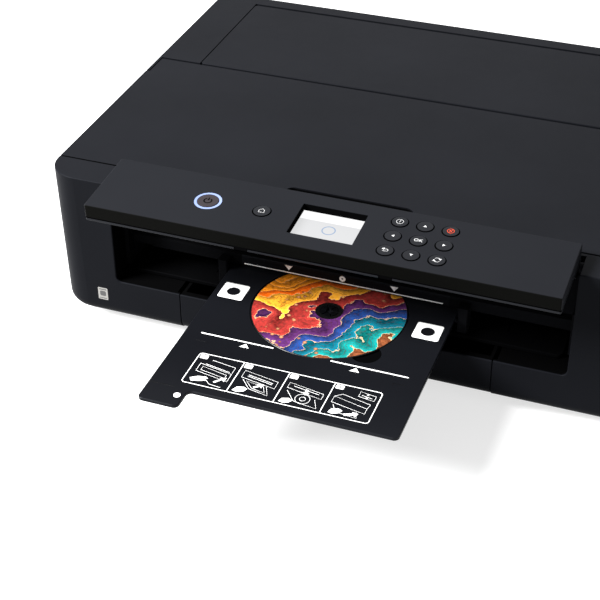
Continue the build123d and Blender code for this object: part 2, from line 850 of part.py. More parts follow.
def star_wheels():
    """Toothed wheels on one thin shaft that hold the print down without smearing it."""
    wheels = rod_x(star_shaft_radius, (-170.5, 170.5), (exit_y, star_z))
    outline = []
    for number in range(32):
        reach = star_radius if number % 2 == 0 else star_radius * 0.72
        angle = math.pi * number / 16
        outline.append((exit_y + reach * math.cos(angle), star_z + reach * math.sin(angle)))
    for x in exit_roller_places():
        wheels += profile_along_x(outline, (x - star_thickness / 2, x + star_thickness / 2))
        wheels += rod_x(2.2, (x - 2.5, x + 2.5), (exit_y, star_z))
    return wheels


def disc_tray():
    """The flat tray with the pocket of one disc, its hub and a finger notch."""
    plan = Pos(0, (tray_back - tray_front) / 2) * Rectangle(tray_width, tray_back + tray_front)
    tab_x = (-tray_half, -tray_half + tray_tab_width)
    tab = Pos(sum(tab_x) / 2, -tray_front - tray_tab / 2 + 5) * Rectangle(tray_tab_width, tray_tab + 10)
    plan = plan + tab
    plan = fillet(plan.vertices(), tray_corner_radius)
    tray = extrude(Pos(0, 0, tray_bottom_z) * plan, amount=tray_thickness)
    tray = chamfer(tray.edges().group_by(Axis.Z)[-1], 0.35)
    floor_z = tray_bottom_z + recess_floor
    pocket = Pos(0, disc_y, floor_z + 5) * Cylinder(disc_radius + 0.6, 10)
    notch_z = tray_top_z - finger_notch_depth
    notch = Pos(43.0, -46.0, notch_z + 5) * Cylinder(finger_notch_radius, 10)
    tray = tray - pocket - notch
    hub_top = disc_top_z + hub_rise
    hub = Pos(0, disc_y, (floor_z + hub_top) / 2) * Cylinder(hub_radius, hub_top - floor_z + 0.02)
    for turn in (0, 60, 120):
        hub -= Pos(0, disc_y, hub_top) * Rot(0, 0, turn) * Box(2 * hub_radius + 1, hub_slot, 3.2)
    hub -= Pos(0, disc_y, hub_top) * Cylinder(2.6, 3.2)
    tray += hub
    for x in (-78.2, 78.2):
        tray -= Pos(x, -5.1, tray_top_z) * Cylinder(5.2, 1.2)
    return tray


disc_top_z = tray_bottom_z + recess_floor + 0.15 + disc_thickness


def disc():
    plate = Pos(0, disc_y, disc_top_z - disc_thickness / 2) * Cylinder(disc_radius, disc_thickness)
    plate = chamfer(plate.edges().group_by(Axis.Z)[-1], 0.2)
    return plate - Pos(0, disc_y, disc_top_z) * Cylinder(disc_hole_radius, 5)


def platen():
    """The ribbed bed under the print head."""
    half = frame_x - frame_thickness / 2 - gap
    plate_top = platen_top_z - platen_rib_height
    y = (platen_front_y, platen_back_y)
    bed = block((-half, half), y, (platen_low_z, plate_top))
    count = 13
    for number in range(count):
        x = tray_half - 4 - number * platen_rib_pitch
        rib = block((x - platen_rib / 2, x + platen_rib / 2), (y[0] + 1, y[1] - 1), (plate_top - 0.1, platen_top_z))
        bed += chamfer(rib.edges().filter_by(Axis.X).group_by(Axis.Z)[-1], 2.0)
    return bed


# ---- paper cassette and output tray ------------------------------------------------------


def paper_cassette():
    """The lower drawer: an open box behind a front panel that is part of the printer's face."""
    low_z = sill_z - cassette_height
    front_z = (case_floor_z + 0.6, sill_z - 0.2)
    front = block((-cassette_half, cassette_half), (0, foot_edge_radius + 1), front_z)
    front = fillet(front.edges().filter_by(Axis.X).group_by(Axis.Y)[0].sort_by(Axis.Z)[0], foot_edge_radius)
    front = fillet(front.edges().filter_by(Axis.X).group_by(Axis.Y)[0].sort_by(Axis.Z)[-1], 0.8)
    front &= block((-body_width, body_width), (-1, cassette_front_thickness), (0, sill_z))
    front = fillet(front.edges().filter_by(Axis.Z).group_by(Axis.Y)[0], 0.8)
    half = cassette_half - gap
    y = (cassette_front_thickness - 0.1, cassette_length)
    box = block((-half, half), y, (low_z, sill_z - 0.5))
    inner = half - cassette_wall
    inner_y = (cassette_front_thickness, y[1] - cassette_wall)
    box -= block((-inner, inner), inner_y, (low_z + cassette_wall, sill_z + 1))
    box -= block((-60, 60), (y[1] - 5, y[1] + 1), (low_z + 14, sill_z + 1))
    for number in range(5):
        x = (number - 2) * 44.0
        rib_y = (cassette_front_thickness + 8, y[1] - 20)
        box += block((x - 1, x + 1), rib_y, (low_z + cassette_wall - 0.1, low_z + cassette_wall + 1))
    cassette = front + box
    grip = block((-40, 40), (3.0, 14.0), (0, low_z + 0.5))
    return cassette - grip


def paper_guide():
    """The right edge guide of the cassette: a foot on the floor ribs and an upright."""
    floor_z = sill_z - cassette_height + cassette_wall + 1 + gap
    x = (paper_guide_half, paper_guide_half + paper_guide_thickness)
    y = (70.0, 70.0 + paper_guide_length)
    guide = block(x, y, (floor_z, floor_z + paper_guide_height))
    guide = fillet(guide.edges().filter_by(Axis.X).group_by(Axis.Z)[-1], 4.0)
    foot = block((x[0] - 26, x[1]), (y[0] + 28, y[1] - 28), (floor_z, floor_z + 2))
    guide += foot
    return guide


def output_tray():
    """The thin tray that catches the prints, pushed in as far as it goes."""
    y = (output_front_y, output_front_y + output_length)
    low = output_low_z
    tray = block((-output_half, output_half), y, (low, low + output_thickness))
    tray = fillet(tray.edges().filter_by(Axis.Z), 5.0)
    tray = fillet(tray.edges().group_by(Axis.Z)[-1].sort_by(Axis.Y)[0], 0.9)
    tray -= block((-40, 40), (y[0] - 1, y[0] + 3.5), (low - 1, low + 1.2))
    for number in range(7):
        x = (number - 3) * 48.0
        tray -= block((x - 14, x + 14), (y[0] + 16, y[1] - 10), (low + output_thickness - 0.8, low + 5))
    rail_x = (output_rail_x - output_rail_width / 2, output_rail_x + output_rail_width / 2)
    tray += both_sides(block(rail_x, (y[0] + 4, y[1] - 2), (sill_z + gap, low + 0.1)))
    return tray


# ---- inner frame and carriage ------------------------------------------------------------


def side_frame():
    """The right side sheet of the mechanism, with the bearing holes of every shaft."""
    x = (frame_x - frame_thickness / 2, frame_x + frame_thickness / 2)
    y = (frame_front_y, frame_back_y)
    sheet = block(x, y, (pan_floor_z, frame_top_z))
    sheet = fillet(sheet.edges().filter_by(Axis.X).group_by(Axis.Z)[-1], 14.0)
    foot_y = (y[0] + 10, y[1] - 10)
    sheet += block((x[0] - frame_foot, x[0] + 0.1), foot_y, (pan_floor_z, pan_floor_z + frame_thickness))
    cut_x = (x[0] - 1, x[1] + 1)
    for low_y, high_y, low_z, high_z in ((84, 124, 16, 44), (70, 124, 96, 118), (168, 194, 88, 112)):
        window = block(cut_x, (low_y, high_y), (low_z, high_z))
        sheet -= fillet(window.edges().filter_by(Axis.X), 5.0)
    for radius, at in frame_bearings():
        sheet -= rod_x(radius + shaft_clearance, cut_x, at)
    return sheet


def frame_bearings():
    return [
        (feed_shaft_radius, feed_at),
        (exit_shaft_radius, exit_at),
        (rod_radius, (rod_y, rod_z)),
        (pickup_shaft_radius, pickup_at),
    ]


pickup_shaft_radius = 3.0
pickup_at = (196.0, 54.0)


def left_frame():
    """The left side sheet: the same, with the idler's stud and the motor's hole."""
    frame = mirror(side_frame(), about=Plane.YZ)
    x = (-frame_x - 2, -frame_x + 2)
    frame -= rod_x(motor_shaft_radius + 1.0, x, pinion_at)
    outer = -frame_x - frame_thickness / 2
    stud = rod_x(stud_radius, (-gear_x - gear_width / 2 - 1, outer + 0.1), idler_at)
    return frame + stud


def guide_rod():
    half = frame_x + frame_thickness / 2 + 0.6
    rod = rod_x(rod_radius, (-half, half), (rod_y, rod_z))
    return chamfer(rod.edges().filter_by(GeomType.CIRCLE), 0.5)


def carriage_rail():
    """The bent sheet behind the carriage that carries the belt drive."""
    half = frame_x - frame_thickness / 2 - gap
    x = (-half, half)
    high = 122.0
    sheet = block(x, (rail_y, rail_y + rail_sheet), (rail_bottom_z, high))
    sheet += block(x, (rail_y - 18, rail_y + 0.1), (high - rail_sheet, high))
    sheet += block(x, (rail_y, rail_y + 14), (rail_bottom_z, rail_bottom_z + rail_sheet))
    through = (rail_y - 1, rail_y + rail_sheet + 1)
    sheet -= rod_y_axis(motor_shaft_radius + 3.0, through, (drive_pulley_x, belt_z))
    for number in range(5):
        centre = (number - 2) * 70.0
        window = block((centre - 22, centre + 22), through, (98.0, 112.0))
        sheet -= fillet(window.edges().filter_by(Axis.Y), 4.0)
    stub = (belt_y - belt_width / 2 - 2, rail_y + 0.1)
    return sheet + rod_y_axis(motor_shaft_radius, stub, (idler_pulley_x, belt_z))


def pulley(x, bore):
    """A flanged belt pulley that turns about Y."""
    wide = belt_width / 2 + 0.4
    at = (x, belt_z)
    wheel = rod_y_axis(pulley_radius, (belt_y - wide, belt_y + wide), at)
    rim = pulley_radius + pulley_flange
    wheel += rod_y_axis(rim, (belt_y - wide - 0.8, belt_y - wide), at)
    wheel += rod_y_axis(rim, (belt_y + wide, belt_y + wide + 0.8), at)
    return wheel - rod_y_axis(bore, (belt_y - 10, belt_y + 10), at)


def timing_belt():
    """One closed loop round both pulleys."""
    inner = pulley_radius + gap
    outer = inner + belt_thickness
    y = (belt_y - belt_width / 2, belt_y + belt_width / 2)
    loop = belt_form(outer, y) - belt_form(inner, (y[0] - 1, y[1] + 1))
    return loop


def belt_form(radius, y):
    form = rod_y_axis(radius, y, (drive_pulley_x, belt_z))
    form += rod_y_axis(radius, y, (idler_pulley_x, belt_z))
    return form + block((drive_pulley_x, idler_pulley_x), y, (belt_z - radius, belt_z + radius))


def carriage_motor():
    at = (drive_pulley_x, belt_z)
    back = rail_y + rail_sheet + gap
    motor = rod_y_axis(carriage_motor_radius, (back, back + carriage_motor_length), at)
    motor = fillet(motor.edges().filter_by(GeomType.CIRCLE).group_by(Axis.Y)[-1], 2.0)
    motor -= block(
        (at[0] - 30, at[0] + 30), (back + 3, back + 23), (at[1] + carriage_motor_radius - 3, at[1] + 30)
    )
    return motor + rod_y_axis(motor_shaft_radius + 2.0, (rail_y + gap, back + 0.1), at)


def carriage():
    """The open box that holds the ink, on bushes round its rod and clamped to the belt."""
    x = (carriage_x - carriage_width / 2, carriage_x + carriage_width / 2)
    y = (carriage_front_y, carriage_back_y)
    z = (carriage_bottom_z, carriage_bottom_z + carriage_height)
    box = block(x, y, z)
    box = fillet(box.edges().filter_by(Axis.Z), 3.0)
    wall = carriage_wall
    box -= block((x[0] + wall, x[1] - wall), (y[0] + wall, y[1] - wall), (z[0] + wall, z[1] + 1))
    box -= block((x[0] - 1, x[1] + 1), (y[0] - 1, y[1] - 14), (z[1] - 11, z[1] + 1))
    for number in range(1, cartridge_count):
        divider = x[0] + wall + number * cartridge_pitch
        box += block((divider - 0.5, divider + 0.5), (y[0] + 1, y[1] - 1), (z[0] + 1, z[0] + 20))
    for left in (x[0], x[1] - 14):
        bush_x = (left, left + 14)
        bush = block(bush_x, (y[1] - 0.1, rod_y + 5.5), (rod_z - 6.5, rod_z + 4.5))
        bush = fillet(bush.edges().filter_by(Axis.X).group_by(Axis.Y)[-1], 3.0)
        box += bush - rod_x(rod_radius + shaft_clearance, (left - 1, left + 15), (rod_y, rod_z))
    strand = belt_z - pulley_radius - gap
    clamp_x = (carriage_x - 10, carriage_x + 10)
    web_z = (strand - belt_thickness - gap - 2.4, strand + gap + 2.4)
    clamp = block(clamp_x, (y[1] - 0.1, belt_y + 2.5), web_z)
    slot_y = (belt_y - belt_width / 2 - gap, belt_y + 10)
    slot_z = (strand - belt_thickness - gap, strand + gap)
    return box + clamp - block((clamp_x[0] - 1, clamp_x[1] + 1), slot_y, slot_z)


cartridge_pitch = (carriage_width - 2 * carriage_wall) / cartridge_count


def ink_cartridges():
    """Six slim cartridges side by side, each with a sloping nose and a latch lever."""
    x = carriage_x - carriage_width / 2 + carriage_wall
    wide = cartridge_pitch - 1.0 - cartridge_clearance
    y = (carriage_front_y + carriage_wall + gap, carriage_back_y - carriage_wall - gap)
    low = carriage_bottom_z + carriage_wall
    high = carriage_bottom_z + carriage_height + cartridge_rise
    outline = [
        (y[0], low),
        (y[0], high - 14),
        (y[0] + 4, high - 6),
        (y[0] + 12, high - 6),
        (y[0] + 15, high),
        (y[1], high),
        (y[1], low),
    ]
    tanks = []
    for number in range(cartridge_count):
        middle = x + (number + 0.5) * cartridge_pitch
        tank = profile_along_x(outline, (middle - wide / 2, middle + wide / 2))
        tanks.append(chamfer(tank.edges().group_by(Axis.Z)[-1], 0.6))
    return Compound(children=tanks)


def print_head():
    high = carriage_bottom_z
    half = carriage_width / 2 - 12
    y = (carriage_front_y + 6, carriage_back_y - 6)
    head = block((carriage_x - half, carriage_x + half), y, (high - head_thickness, high))
    return chamfer(head.edges().group_by(Axis.Z)[0], 0.6)


def capping_station():
    """The parking place of the head: a base, a sprung cap and a wiper blade."""
    base_z = platen_top_z - platen_rib_height
    x = (tray_half + 5, carriage_x + carriage_width / 2)
    y = (carriage_front_y + 3, carriage_back_y - 2)
    base = block(x, y, (base_z, base_z + 4))
    base = fillet(base.edges().filter_by(Axis.Z), 3.0)
    cap_top = carriage_bottom_z - head_thickness - gap
    cup_x = (carriage_x - 34, carriage_x + 34)
    cup_y = (y[0] + 6, y[1] - 6)
    cup = block(cup_x, cup_y, (base_z + 3.9, cap_top))
    cup = fillet(cup.edges().filter_by(Axis.Z), 2.0)
    cup -= block((cup_x[0] + 2, cup_x[1] - 2), (cup_y[0] + 2, cup_y[1] - 2), (cap_top - 2.5, cap_top + 1))
    blade = block((x[0] + 5, x[0] + 6.6), (y[0] + 3, y[1] - 3), (base_z + 3.9, cap_top))
    return base + cup + blade


# ---- feed drive --------------------------------------------------------------------------


def involute(angle):
    return math.tan(angle) - angle


def gear_outline(teeth, centre, phase):
    """The YZ outline of a spur gear, with each flank in three steps."""
    pitch = pitch_radius(teeth)
    base = pitch * math.cos(math.radians(pressure_angle))
    tip = pitch + gear_addendum * gear_module
    root = pitch - gear_dedendum * gear_module
    middle = math.pi / (2 * teeth) - gear_backlash / (2 * pitch) + involute(math.radians(pressure_angle))
    half_widths = []
    for reach in (root, max(base, root), pitch, tip):
        roll = math.acos(min(base / reach, 1.0)) if reach > base else 0.0
        half_widths.append((reach, middle - involute(roll)))
    points = []
    for number in range(teeth):
        axis = phase + 2 * math.pi * number / teeth
        flank = [(reach, axis - half) for reach, half in half_widths]
        flank += [(reach, axis + half) for reach, half in reversed(half_widths)]
        for reach, angle in flank:
            point = (centre[0] + reach * math.cos(angle), centre[1] + reach * math.sin(angle))
            if not points or math.dist(point, points[-1]) > 0.02:
                points.append(point)
    return points


def meshing_phase(phase, teeth, other_teeth, direction):
    """The phase that lets another gear's gap meet this gear's tooth in a direction."""
    past_tooth = (direction - phase) % (2 * math.pi / teeth)
    return direction + math.pi + past_tooth * teeth / other_teeth + math.pi / other_teeth


def direction_to(start, end):
    return math.atan2(end[1] - start[1], end[0] - start[0])


feed_phase = direction_to(feed_at, idler_at)
idler_phase = meshing_phase(feed_phase, feed_teeth, idler_teeth, feed_phase)
exit_phase = meshing_phase(idler_phase, idler_teeth, exit_teeth, direction_to(idler_at, exit_at))
pinion_phase = meshing_phase(feed_phase, feed_teeth, pinion_teeth, direction_to(feed_at, pinion_at))


def gear(teeth, centre, phase, bore):
    """A spur gear outside the left frame, hollowed on its outer face."""
    x = (-gear_x - gear_width / 2, -gear_x + gear_width / 2)
    wheel = profile_along_x(gear_outline(teeth, centre, phase), x)
    root = pitch_radius(teeth) - gear_dedendum * gear_module
    if root > 12:
        hollow = rod_x(root - 2.5, (x[0] - 1, x[0] + 2), centre) - rod_x(bore + 3.0, (x[0] - 2, x[0] + 3), centre)
        wheel -= hollow
    return wheel - rod_x(bore, (x[0] - 1, x[1] + 1), centre)


def feed_roller():
    shaft = rod_x(feed_shaft_radius, (-gear_x - gear_width / 2 - 1, frame_x + 3), feed_at)
    return shaft + rod_x(feed_radius, (-186.0, 186.0), feed_at)


def exit_rollers():
    shaft = rod_x(exit_shaft_radius, (-gear_x - gear_width / 2 - 1, frame_x + 3), exit_at)
    for x in exit_roller_places():
        roller = rod_x(exit_radius, (x - exit_roller_width / 2, x + exit_roller_width / 2), exit_at)
        shaft += chamfer(roller.edges().filter_by(GeomType.CIRCLE), 0.6)
    return shaft


def motor_pinion():
    pinion = gear(pinion_teeth, pinion_at, pinion_phase, motor_shaft_radius)
    outer = -gear_x - gear_width / 2 - 1
    return pinion + rod_x(motor_shaft_radius, (outer, -frame_x + 1.4), pinion_at)


def feed_motor():
    inner = -frame_x + frame_thickness / 2
    motor = rod_x(feed_motor_radius, (inner + gap, inner + gap + feed_motor_length), pinion_at)
    motor = fillet(motor.edges().filter_by(GeomType.CIRCLE).group_by(Axis.X)[-1], 2.0)
    lugs = block(
        (inner + gap, inner + gap + 1.5),
        (pinion_at[0] - 4, pinion_at[0] + 4),
        (pinion_at[1] - feed_motor_radius - 6, pinion_at[1]),
    )
    return motor + lugs - rod_x(motor_shaft_radius + 0.5, (inner, inner + 3), pinion_at)


pinch_z = tray_top_z + gap + pinch_radius
pinch_pitch = 58.0
pinch_shaft_radius = 1.5


def pinch_places():
    middle = (pinch_count - 1) / 2
    return [(number - middle) * pinch_pitch for number in range(pinch_count)]


def pinch_rollers():
    rollers = rod_x(pinch_shaft_radius, (-178.0, 178.0), (feed_y, pinch_z))
    for x in pinch_places():
        rollers += rod_x(pinch_radius, (x - 13, x + 13), (feed_y, pinch_z))
    return rollers


def pinch_holder():
    """The bar that presses the pinch rollers down, an arm between every two of them."""
    high = rail_bottom_z - gap
    holder = block((-182.0, 182.0), (feed_y + 6, feed_y + 20), (pinch_z - 2, high))
    arm_places = [place + pinch_pitch / 2 for place in pinch_places()[:-1]] + [-171.0, 171.0]
    for x in arm_places:
        arm = block((x - 3, x + 3), (feed_y - 3.2, feed_y + 6.1), (pinch_z - 3, pinch_z + 3))
        arm = fillet(arm.edges().filter_by(Axis.X).group_by(Axis.Y)[0], 2.5)
        hole = rod_x(pinch_shaft_radius + shaft_clearance, (x - 4, x + 4), (feed_y, pinch_z))
        holder += arm - hole
    return holder


pickup_reach = 50.0
pickup_radius = 7.0
pickup_roller_at = (pickup_at[0] + pickup_reach, sill_z + 0.6 + pickup_radius)
pickup_pin_radius = 2.0


def pickup_arm():
    """The cranked arm that lowers the pickup roller onto the paper, with its cross shaft."""
    shaft = rod_x(pickup_shaft_radius, (-frame_x - 1.5, frame_x + 1.5), pickup_at)
    arm = shaft
    for x in (-19.0, 19.0):
        cheek_x = (x - 2, x + 2)
        cheek = rod_x(5.0, cheek_x, pickup_at) + rod_x(4.5, cheek_x, pickup_roller_at)
        cheek += block(cheek_x, (pickup_at[0], pickup_roller_at[0]), (pickup_at[1] - 4.5, pickup_at[1] + 4.0))
        hole = rod_x(pickup_pin_radius + shaft_clearance, (x - 3, x + 3), pickup_roller_at)
        arm += cheek - hole
    return arm + block((-19.0, 19.0), (pickup_at[0] + 8, pickup_at[0] + 30), (pickup_at[1] - 4, pickup_at[1] - 1.5))


def pickup_roller():
    roller = rod_x(pickup_radius, (-15.0, 15.0), pickup_roller_at)
    return roller + rod_x(pickup_pin_radius, (-22.0, 22.0), pickup_roller_at)


# ---- rear paper feed and electrics -------------------------------------------------------


def paper_chute():
    """The sloping bed of the rear feed, hung under the rear deck by its flanges."""
    plate = chute_plate
    bed = profile_along_x(
        [
            (chute_low_y, chute_low_z),
            (chute_high_y, chute_high_z),
            (chute_high_y, chute_high_z - plate),
            (chute_low_y + 2, chute_low_z - plate),
        ],
        (-chute_half, chute_half),
    )
    rail_z = (chute_high_z - 1, chute_high_z + 1.5)
    cheek = profile_along_x(
        [
            (chute_low_y, chute_low_z - plate),
            (chute_low_y - 6, chute_low_z + 14),
            (chute_low_y - 6, rail_z[1]),
            (chute_high_y - 4, rail_z[1]),
            (chute_high_y - 4, chute_high_z - plate - 2),
        ],
        (chute_half - 0.1, chute_half + 2.5),
    )
    flange_x = (chute_half, flap_half + 8)
    flange_y = (chute_low_y + 6, chute_high_y - 8)
    cheek += block(flange_x, flange_y, rail_z)
    upstand_x = (flap_half + 5.5, flap_half + 8)
    cheek += block(upstand_x, flange_y, (rail_z[0], top_z - case_wall - gap))
    chute = bed + both_sides(cheek)
    slope = (chute_high_z - chute_low_z) / (chute_high_y - chute_low_y)
    for x in (-120.0, -40.0, 40.0, 120.0):
        rib = profile_along_x(
            [
                (chute_low_y + 8, chute_low_z + 8 * slope),
                (chute_high_y - 10, chute_high_z - 10 * slope),
                (chute_high_y - 10, chute_high_z - 10 * slope + 1.5),
                (chute_low_y + 8, chute_low_z + 8 * slope + 1.5),
            ],
            (x - 1.2, x + 1.2),
        )
        chute += rib
    return chute


def waste_ink_pad():
    pad_y = (pad_front_y, pad_front_y + pad_length)
    pad = block((channel_half + 8, half_body - pad_inset), pad_y, (pan_floor_z, pan_floor_z + pad_height))
    return fillet(pad.edges().filter_by(Axis.Z), 4.0)


def power_supply():
    """The metal box of the power supply, slotted for air."""
    x = (-half_body + supply_inset, -half_body + supply_inset + supply_width)
    y = (body_depth - supply_back_clearance - supply_length, body_depth - supply_back_clearance)
    z = (pan_floor_z, pan_floor_z + supply_height)
    box = block(x, y, z)
    box = chamfer(box.edges().filter_by(Axis.Y), 1.2)
    for number in range(9):
        slot_y = y[0] + (3.5 + 3 * number) * supply_vent
        box -= block((x[0] + 3 * supply_vent, x[1] - 3 * supply_vent), (slot_y, slot_y + supply_vent), (z[1] - 1.5, z[1] + 1))
    return box


def mains_inlet():
    """The two-pole inlet in the back wall, without a cord."""
    x = (inlet_x - inlet_width / 2, inlet_x + inlet_width / 2)
    z = (inlet_z - inlet_height / 2, inlet_z + inlet_height / 2)
    inlet = block(x, (body_depth - inlet_depth, body_depth), z)
    inlet = fillet(inlet.edges().filter_by(Axis.Y), 3.0)
    well = block((x[0] + 1.5, x[1] - 1.5), (body_depth - 10, body_depth + 1), (z[0] + 1.5, z[1] - 1.5))
    inlet -= fillet(well.edges().filter_by(Axis.Y), 2.4)
    for offset in (-3.6, 3.6):
        inlet += rod_y_axis(1.0, (body_depth - 10.1, body_depth - 2.5), (inlet_x + offset, inlet_z))
    back = (body_depth - inlet_depth - inlet_neck, body_depth - inlet_depth + 0.1)
    return inlet + block((x[0] + 2, x[1] - 2), back, (z[0] + 1, z[1] - 1))


def main_board():
    """The upright circuit board with its two sockets at the back wall."""
    x = port_x + 9.0
    back = body_depth - board_back_clearance
    front = back - board_length
    board = block((x, x + board_thickness), (front, back), (board_low_z, board_high_z))
    for along, above, size in ((32, 38, 14), (62, 66, 9), (22, 73, 7), (90, 68, 8)):
        y, z = front + along, board_low_z + above
        board += block((x - 2.5, x + 0.1), (y - size, y + size), (z - size, z + size))
    for along in (12.0, 47.0, 82.0):
        board += rod_x(5.0, (x - 14, x + 0.1), (front + along, board_low_z + 14))
    for z, high, wide in ((usb_z, 11.0, 12.0), (lan_z, 14.0, 16.0)):
        socket_y = (body_depth - 0.6 - socket_length, body_depth - 0.6)
        socket = block((x - wide, x + 0.1), socket_y, (z - high / 2, z + high / 2))
        hollow_x = (x - wide + 1.2, x - 1.2)
        socket -= block(hollow_x, (body_depth - 9, body_depth + 1), (z - high / 2 + 1.2, z + high / 2 - 1.2))
        board += socket
    return board


# ---- the whole ---------------------------------------------------------------------------


def key_nodes():
    names = ["help", "up", "stop", "left", "ok", "right", "back", "down", "cycle"]
    keys = {}
    for name, (x, up) in zip(names, keypad_places()):
        keys[name + "_key"] = raised(key(x, up, key_radius))
    keys["home_key"] = raised(key(home_key_x, keypad_y, home_key_radius))
    keys["power_key"] = raised(key(power_key_x, keypad_y, power_key_radius))
    return keys


def nodes():
    pieces = {
        "outer_case": outer_case(),
        "base_pan": base_pan(),
        "rubber_feet": rubber_feet(),
        "back_cover": back_cover(),
        "top_cover": top_cover(),
        "feed_cover": feed_cover(),
        "panel_face": raised(panel_face()),
        "panel_back": raised(panel_back()),
        "lcd_screen": raised(lcd_screen()),
        "power_light_ring": raised(power_light_ring()),
        "panel_board": raised(panel_board()),
        "panel_pins": panel_pins(),
        "disc_guide": disc_guide(),
        "star_wheels": star_wheels(),
        "disc_tray": disc_tray(),
        "disc": disc(),
        "platen": platen(),
        "paper_cassette": paper_cassette(),
        "right_paper_guide": paper_guide(),
        "left_paper_guide": mirror(paper_guide(), about=Plane.YZ),
        "output_tray": output_tray(),
        "left_frame": left_frame(),
        "right_frame": side_frame(),
        "guide_rod": guide_rod(),
        "carriage_rail": carriage_rail(),
        "drive_pulley": pulley(drive_pulley_x, motor_shaft_radius + shaft_clearance),
        "idler_pulley": pulley(idler_pulley_x, motor_shaft_radius + shaft_clearance),
        "timing_belt": timing_belt(),
        "carriage_motor": carriage_motor(),
        "carriage": carriage(),
        "ink_cartridges": ink_cartridges(),
        "print_head": print_head(),
        "capping_station": capping_station(),
        "feed_roller": feed_roller(),
        "exit_rollers": exit_rollers(),
        "feed_gear": gear(feed_teeth, feed_at, feed_phase, feed_shaft_radius),
        "idler_gear": gear(idler_teeth, idler_at, idler_phase, stud_radius + shaft_clearance),
        "exit_gear": gear(exit_teeth, exit_at, exit_phase, exit_shaft_radius),
        "motor_pinion": motor_pinion(),
        "feed_motor": feed_motor(),
        "pinch_rollers": pinch_rollers(),
        "pinch_holder": pinch_holder(),
        "pickup_arm": pickup_arm(),
        "pickup_roller": pickup_roller(),
        "paper_chute": paper_chute(),
        "waste_ink_pad": waste_ink_pad(),
        "power_supply": power_supply(),
        "mains_inlet": mains_inlet(),
        "main_board": main_board(),
    }
    pieces.update(key_nodes())
    return pieces


os.makedirs("parts", exist_ok=True)
for name, piece in nodes().items():
    export_step(Pos(0, origin_shift, 0) * piece, f"parts/{name}.step")
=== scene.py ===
import bpy
import bmesh
import math
from mathutils import Matrix, Vector


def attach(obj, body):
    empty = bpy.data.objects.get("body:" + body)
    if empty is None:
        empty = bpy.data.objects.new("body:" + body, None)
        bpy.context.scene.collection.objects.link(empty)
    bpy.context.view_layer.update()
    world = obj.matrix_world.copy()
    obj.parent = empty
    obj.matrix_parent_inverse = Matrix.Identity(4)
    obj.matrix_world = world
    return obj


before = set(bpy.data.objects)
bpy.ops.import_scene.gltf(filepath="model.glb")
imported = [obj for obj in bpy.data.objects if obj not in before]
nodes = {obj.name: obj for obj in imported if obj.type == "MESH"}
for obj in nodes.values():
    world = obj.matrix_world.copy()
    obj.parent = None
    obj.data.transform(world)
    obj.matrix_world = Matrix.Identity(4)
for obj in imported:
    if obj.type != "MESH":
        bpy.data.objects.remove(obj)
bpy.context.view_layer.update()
print("frame loaded:", len(nodes), "nodes")

mm = 0.001
frontY = -0.11025  # the frame's Y of the printer's front face


class Signal:
    # a number that varies over a surface; a sum on it adds a Math node
    def __init__(self, paint, socket):
        self.paint = paint
        self.socket = socket

    def __add__(self, other):
        return self.paint.maths("ADD", self, other)

    def __radd__(self, other):
        return self.paint.maths("ADD", other, self)

    def __sub__(self, other):
        return self.paint.maths("SUBTRACT", self, other)

    def __rsub__(self, other):
        return self.paint.maths("SUBTRACT", other, self)

    def __mul__(self, other):
        return self.paint.maths("MULTIPLY", self, other)

    def __rmul__(self, other):
        return self.paint.maths("MULTIPLY", other, self)

    def __truediv__(self, other):
        return self.paint.maths("DIVIDE", self, other)

    def __rtruediv__(self, other):
        return self.paint.maths("DIVIDE", other, self)

    def __gt__(self, other):
        return self.paint.maths("GREATER_THAN", self, other)

    def __lt__(self, other):
        return self.paint.maths("LESS_THAN", self, other)


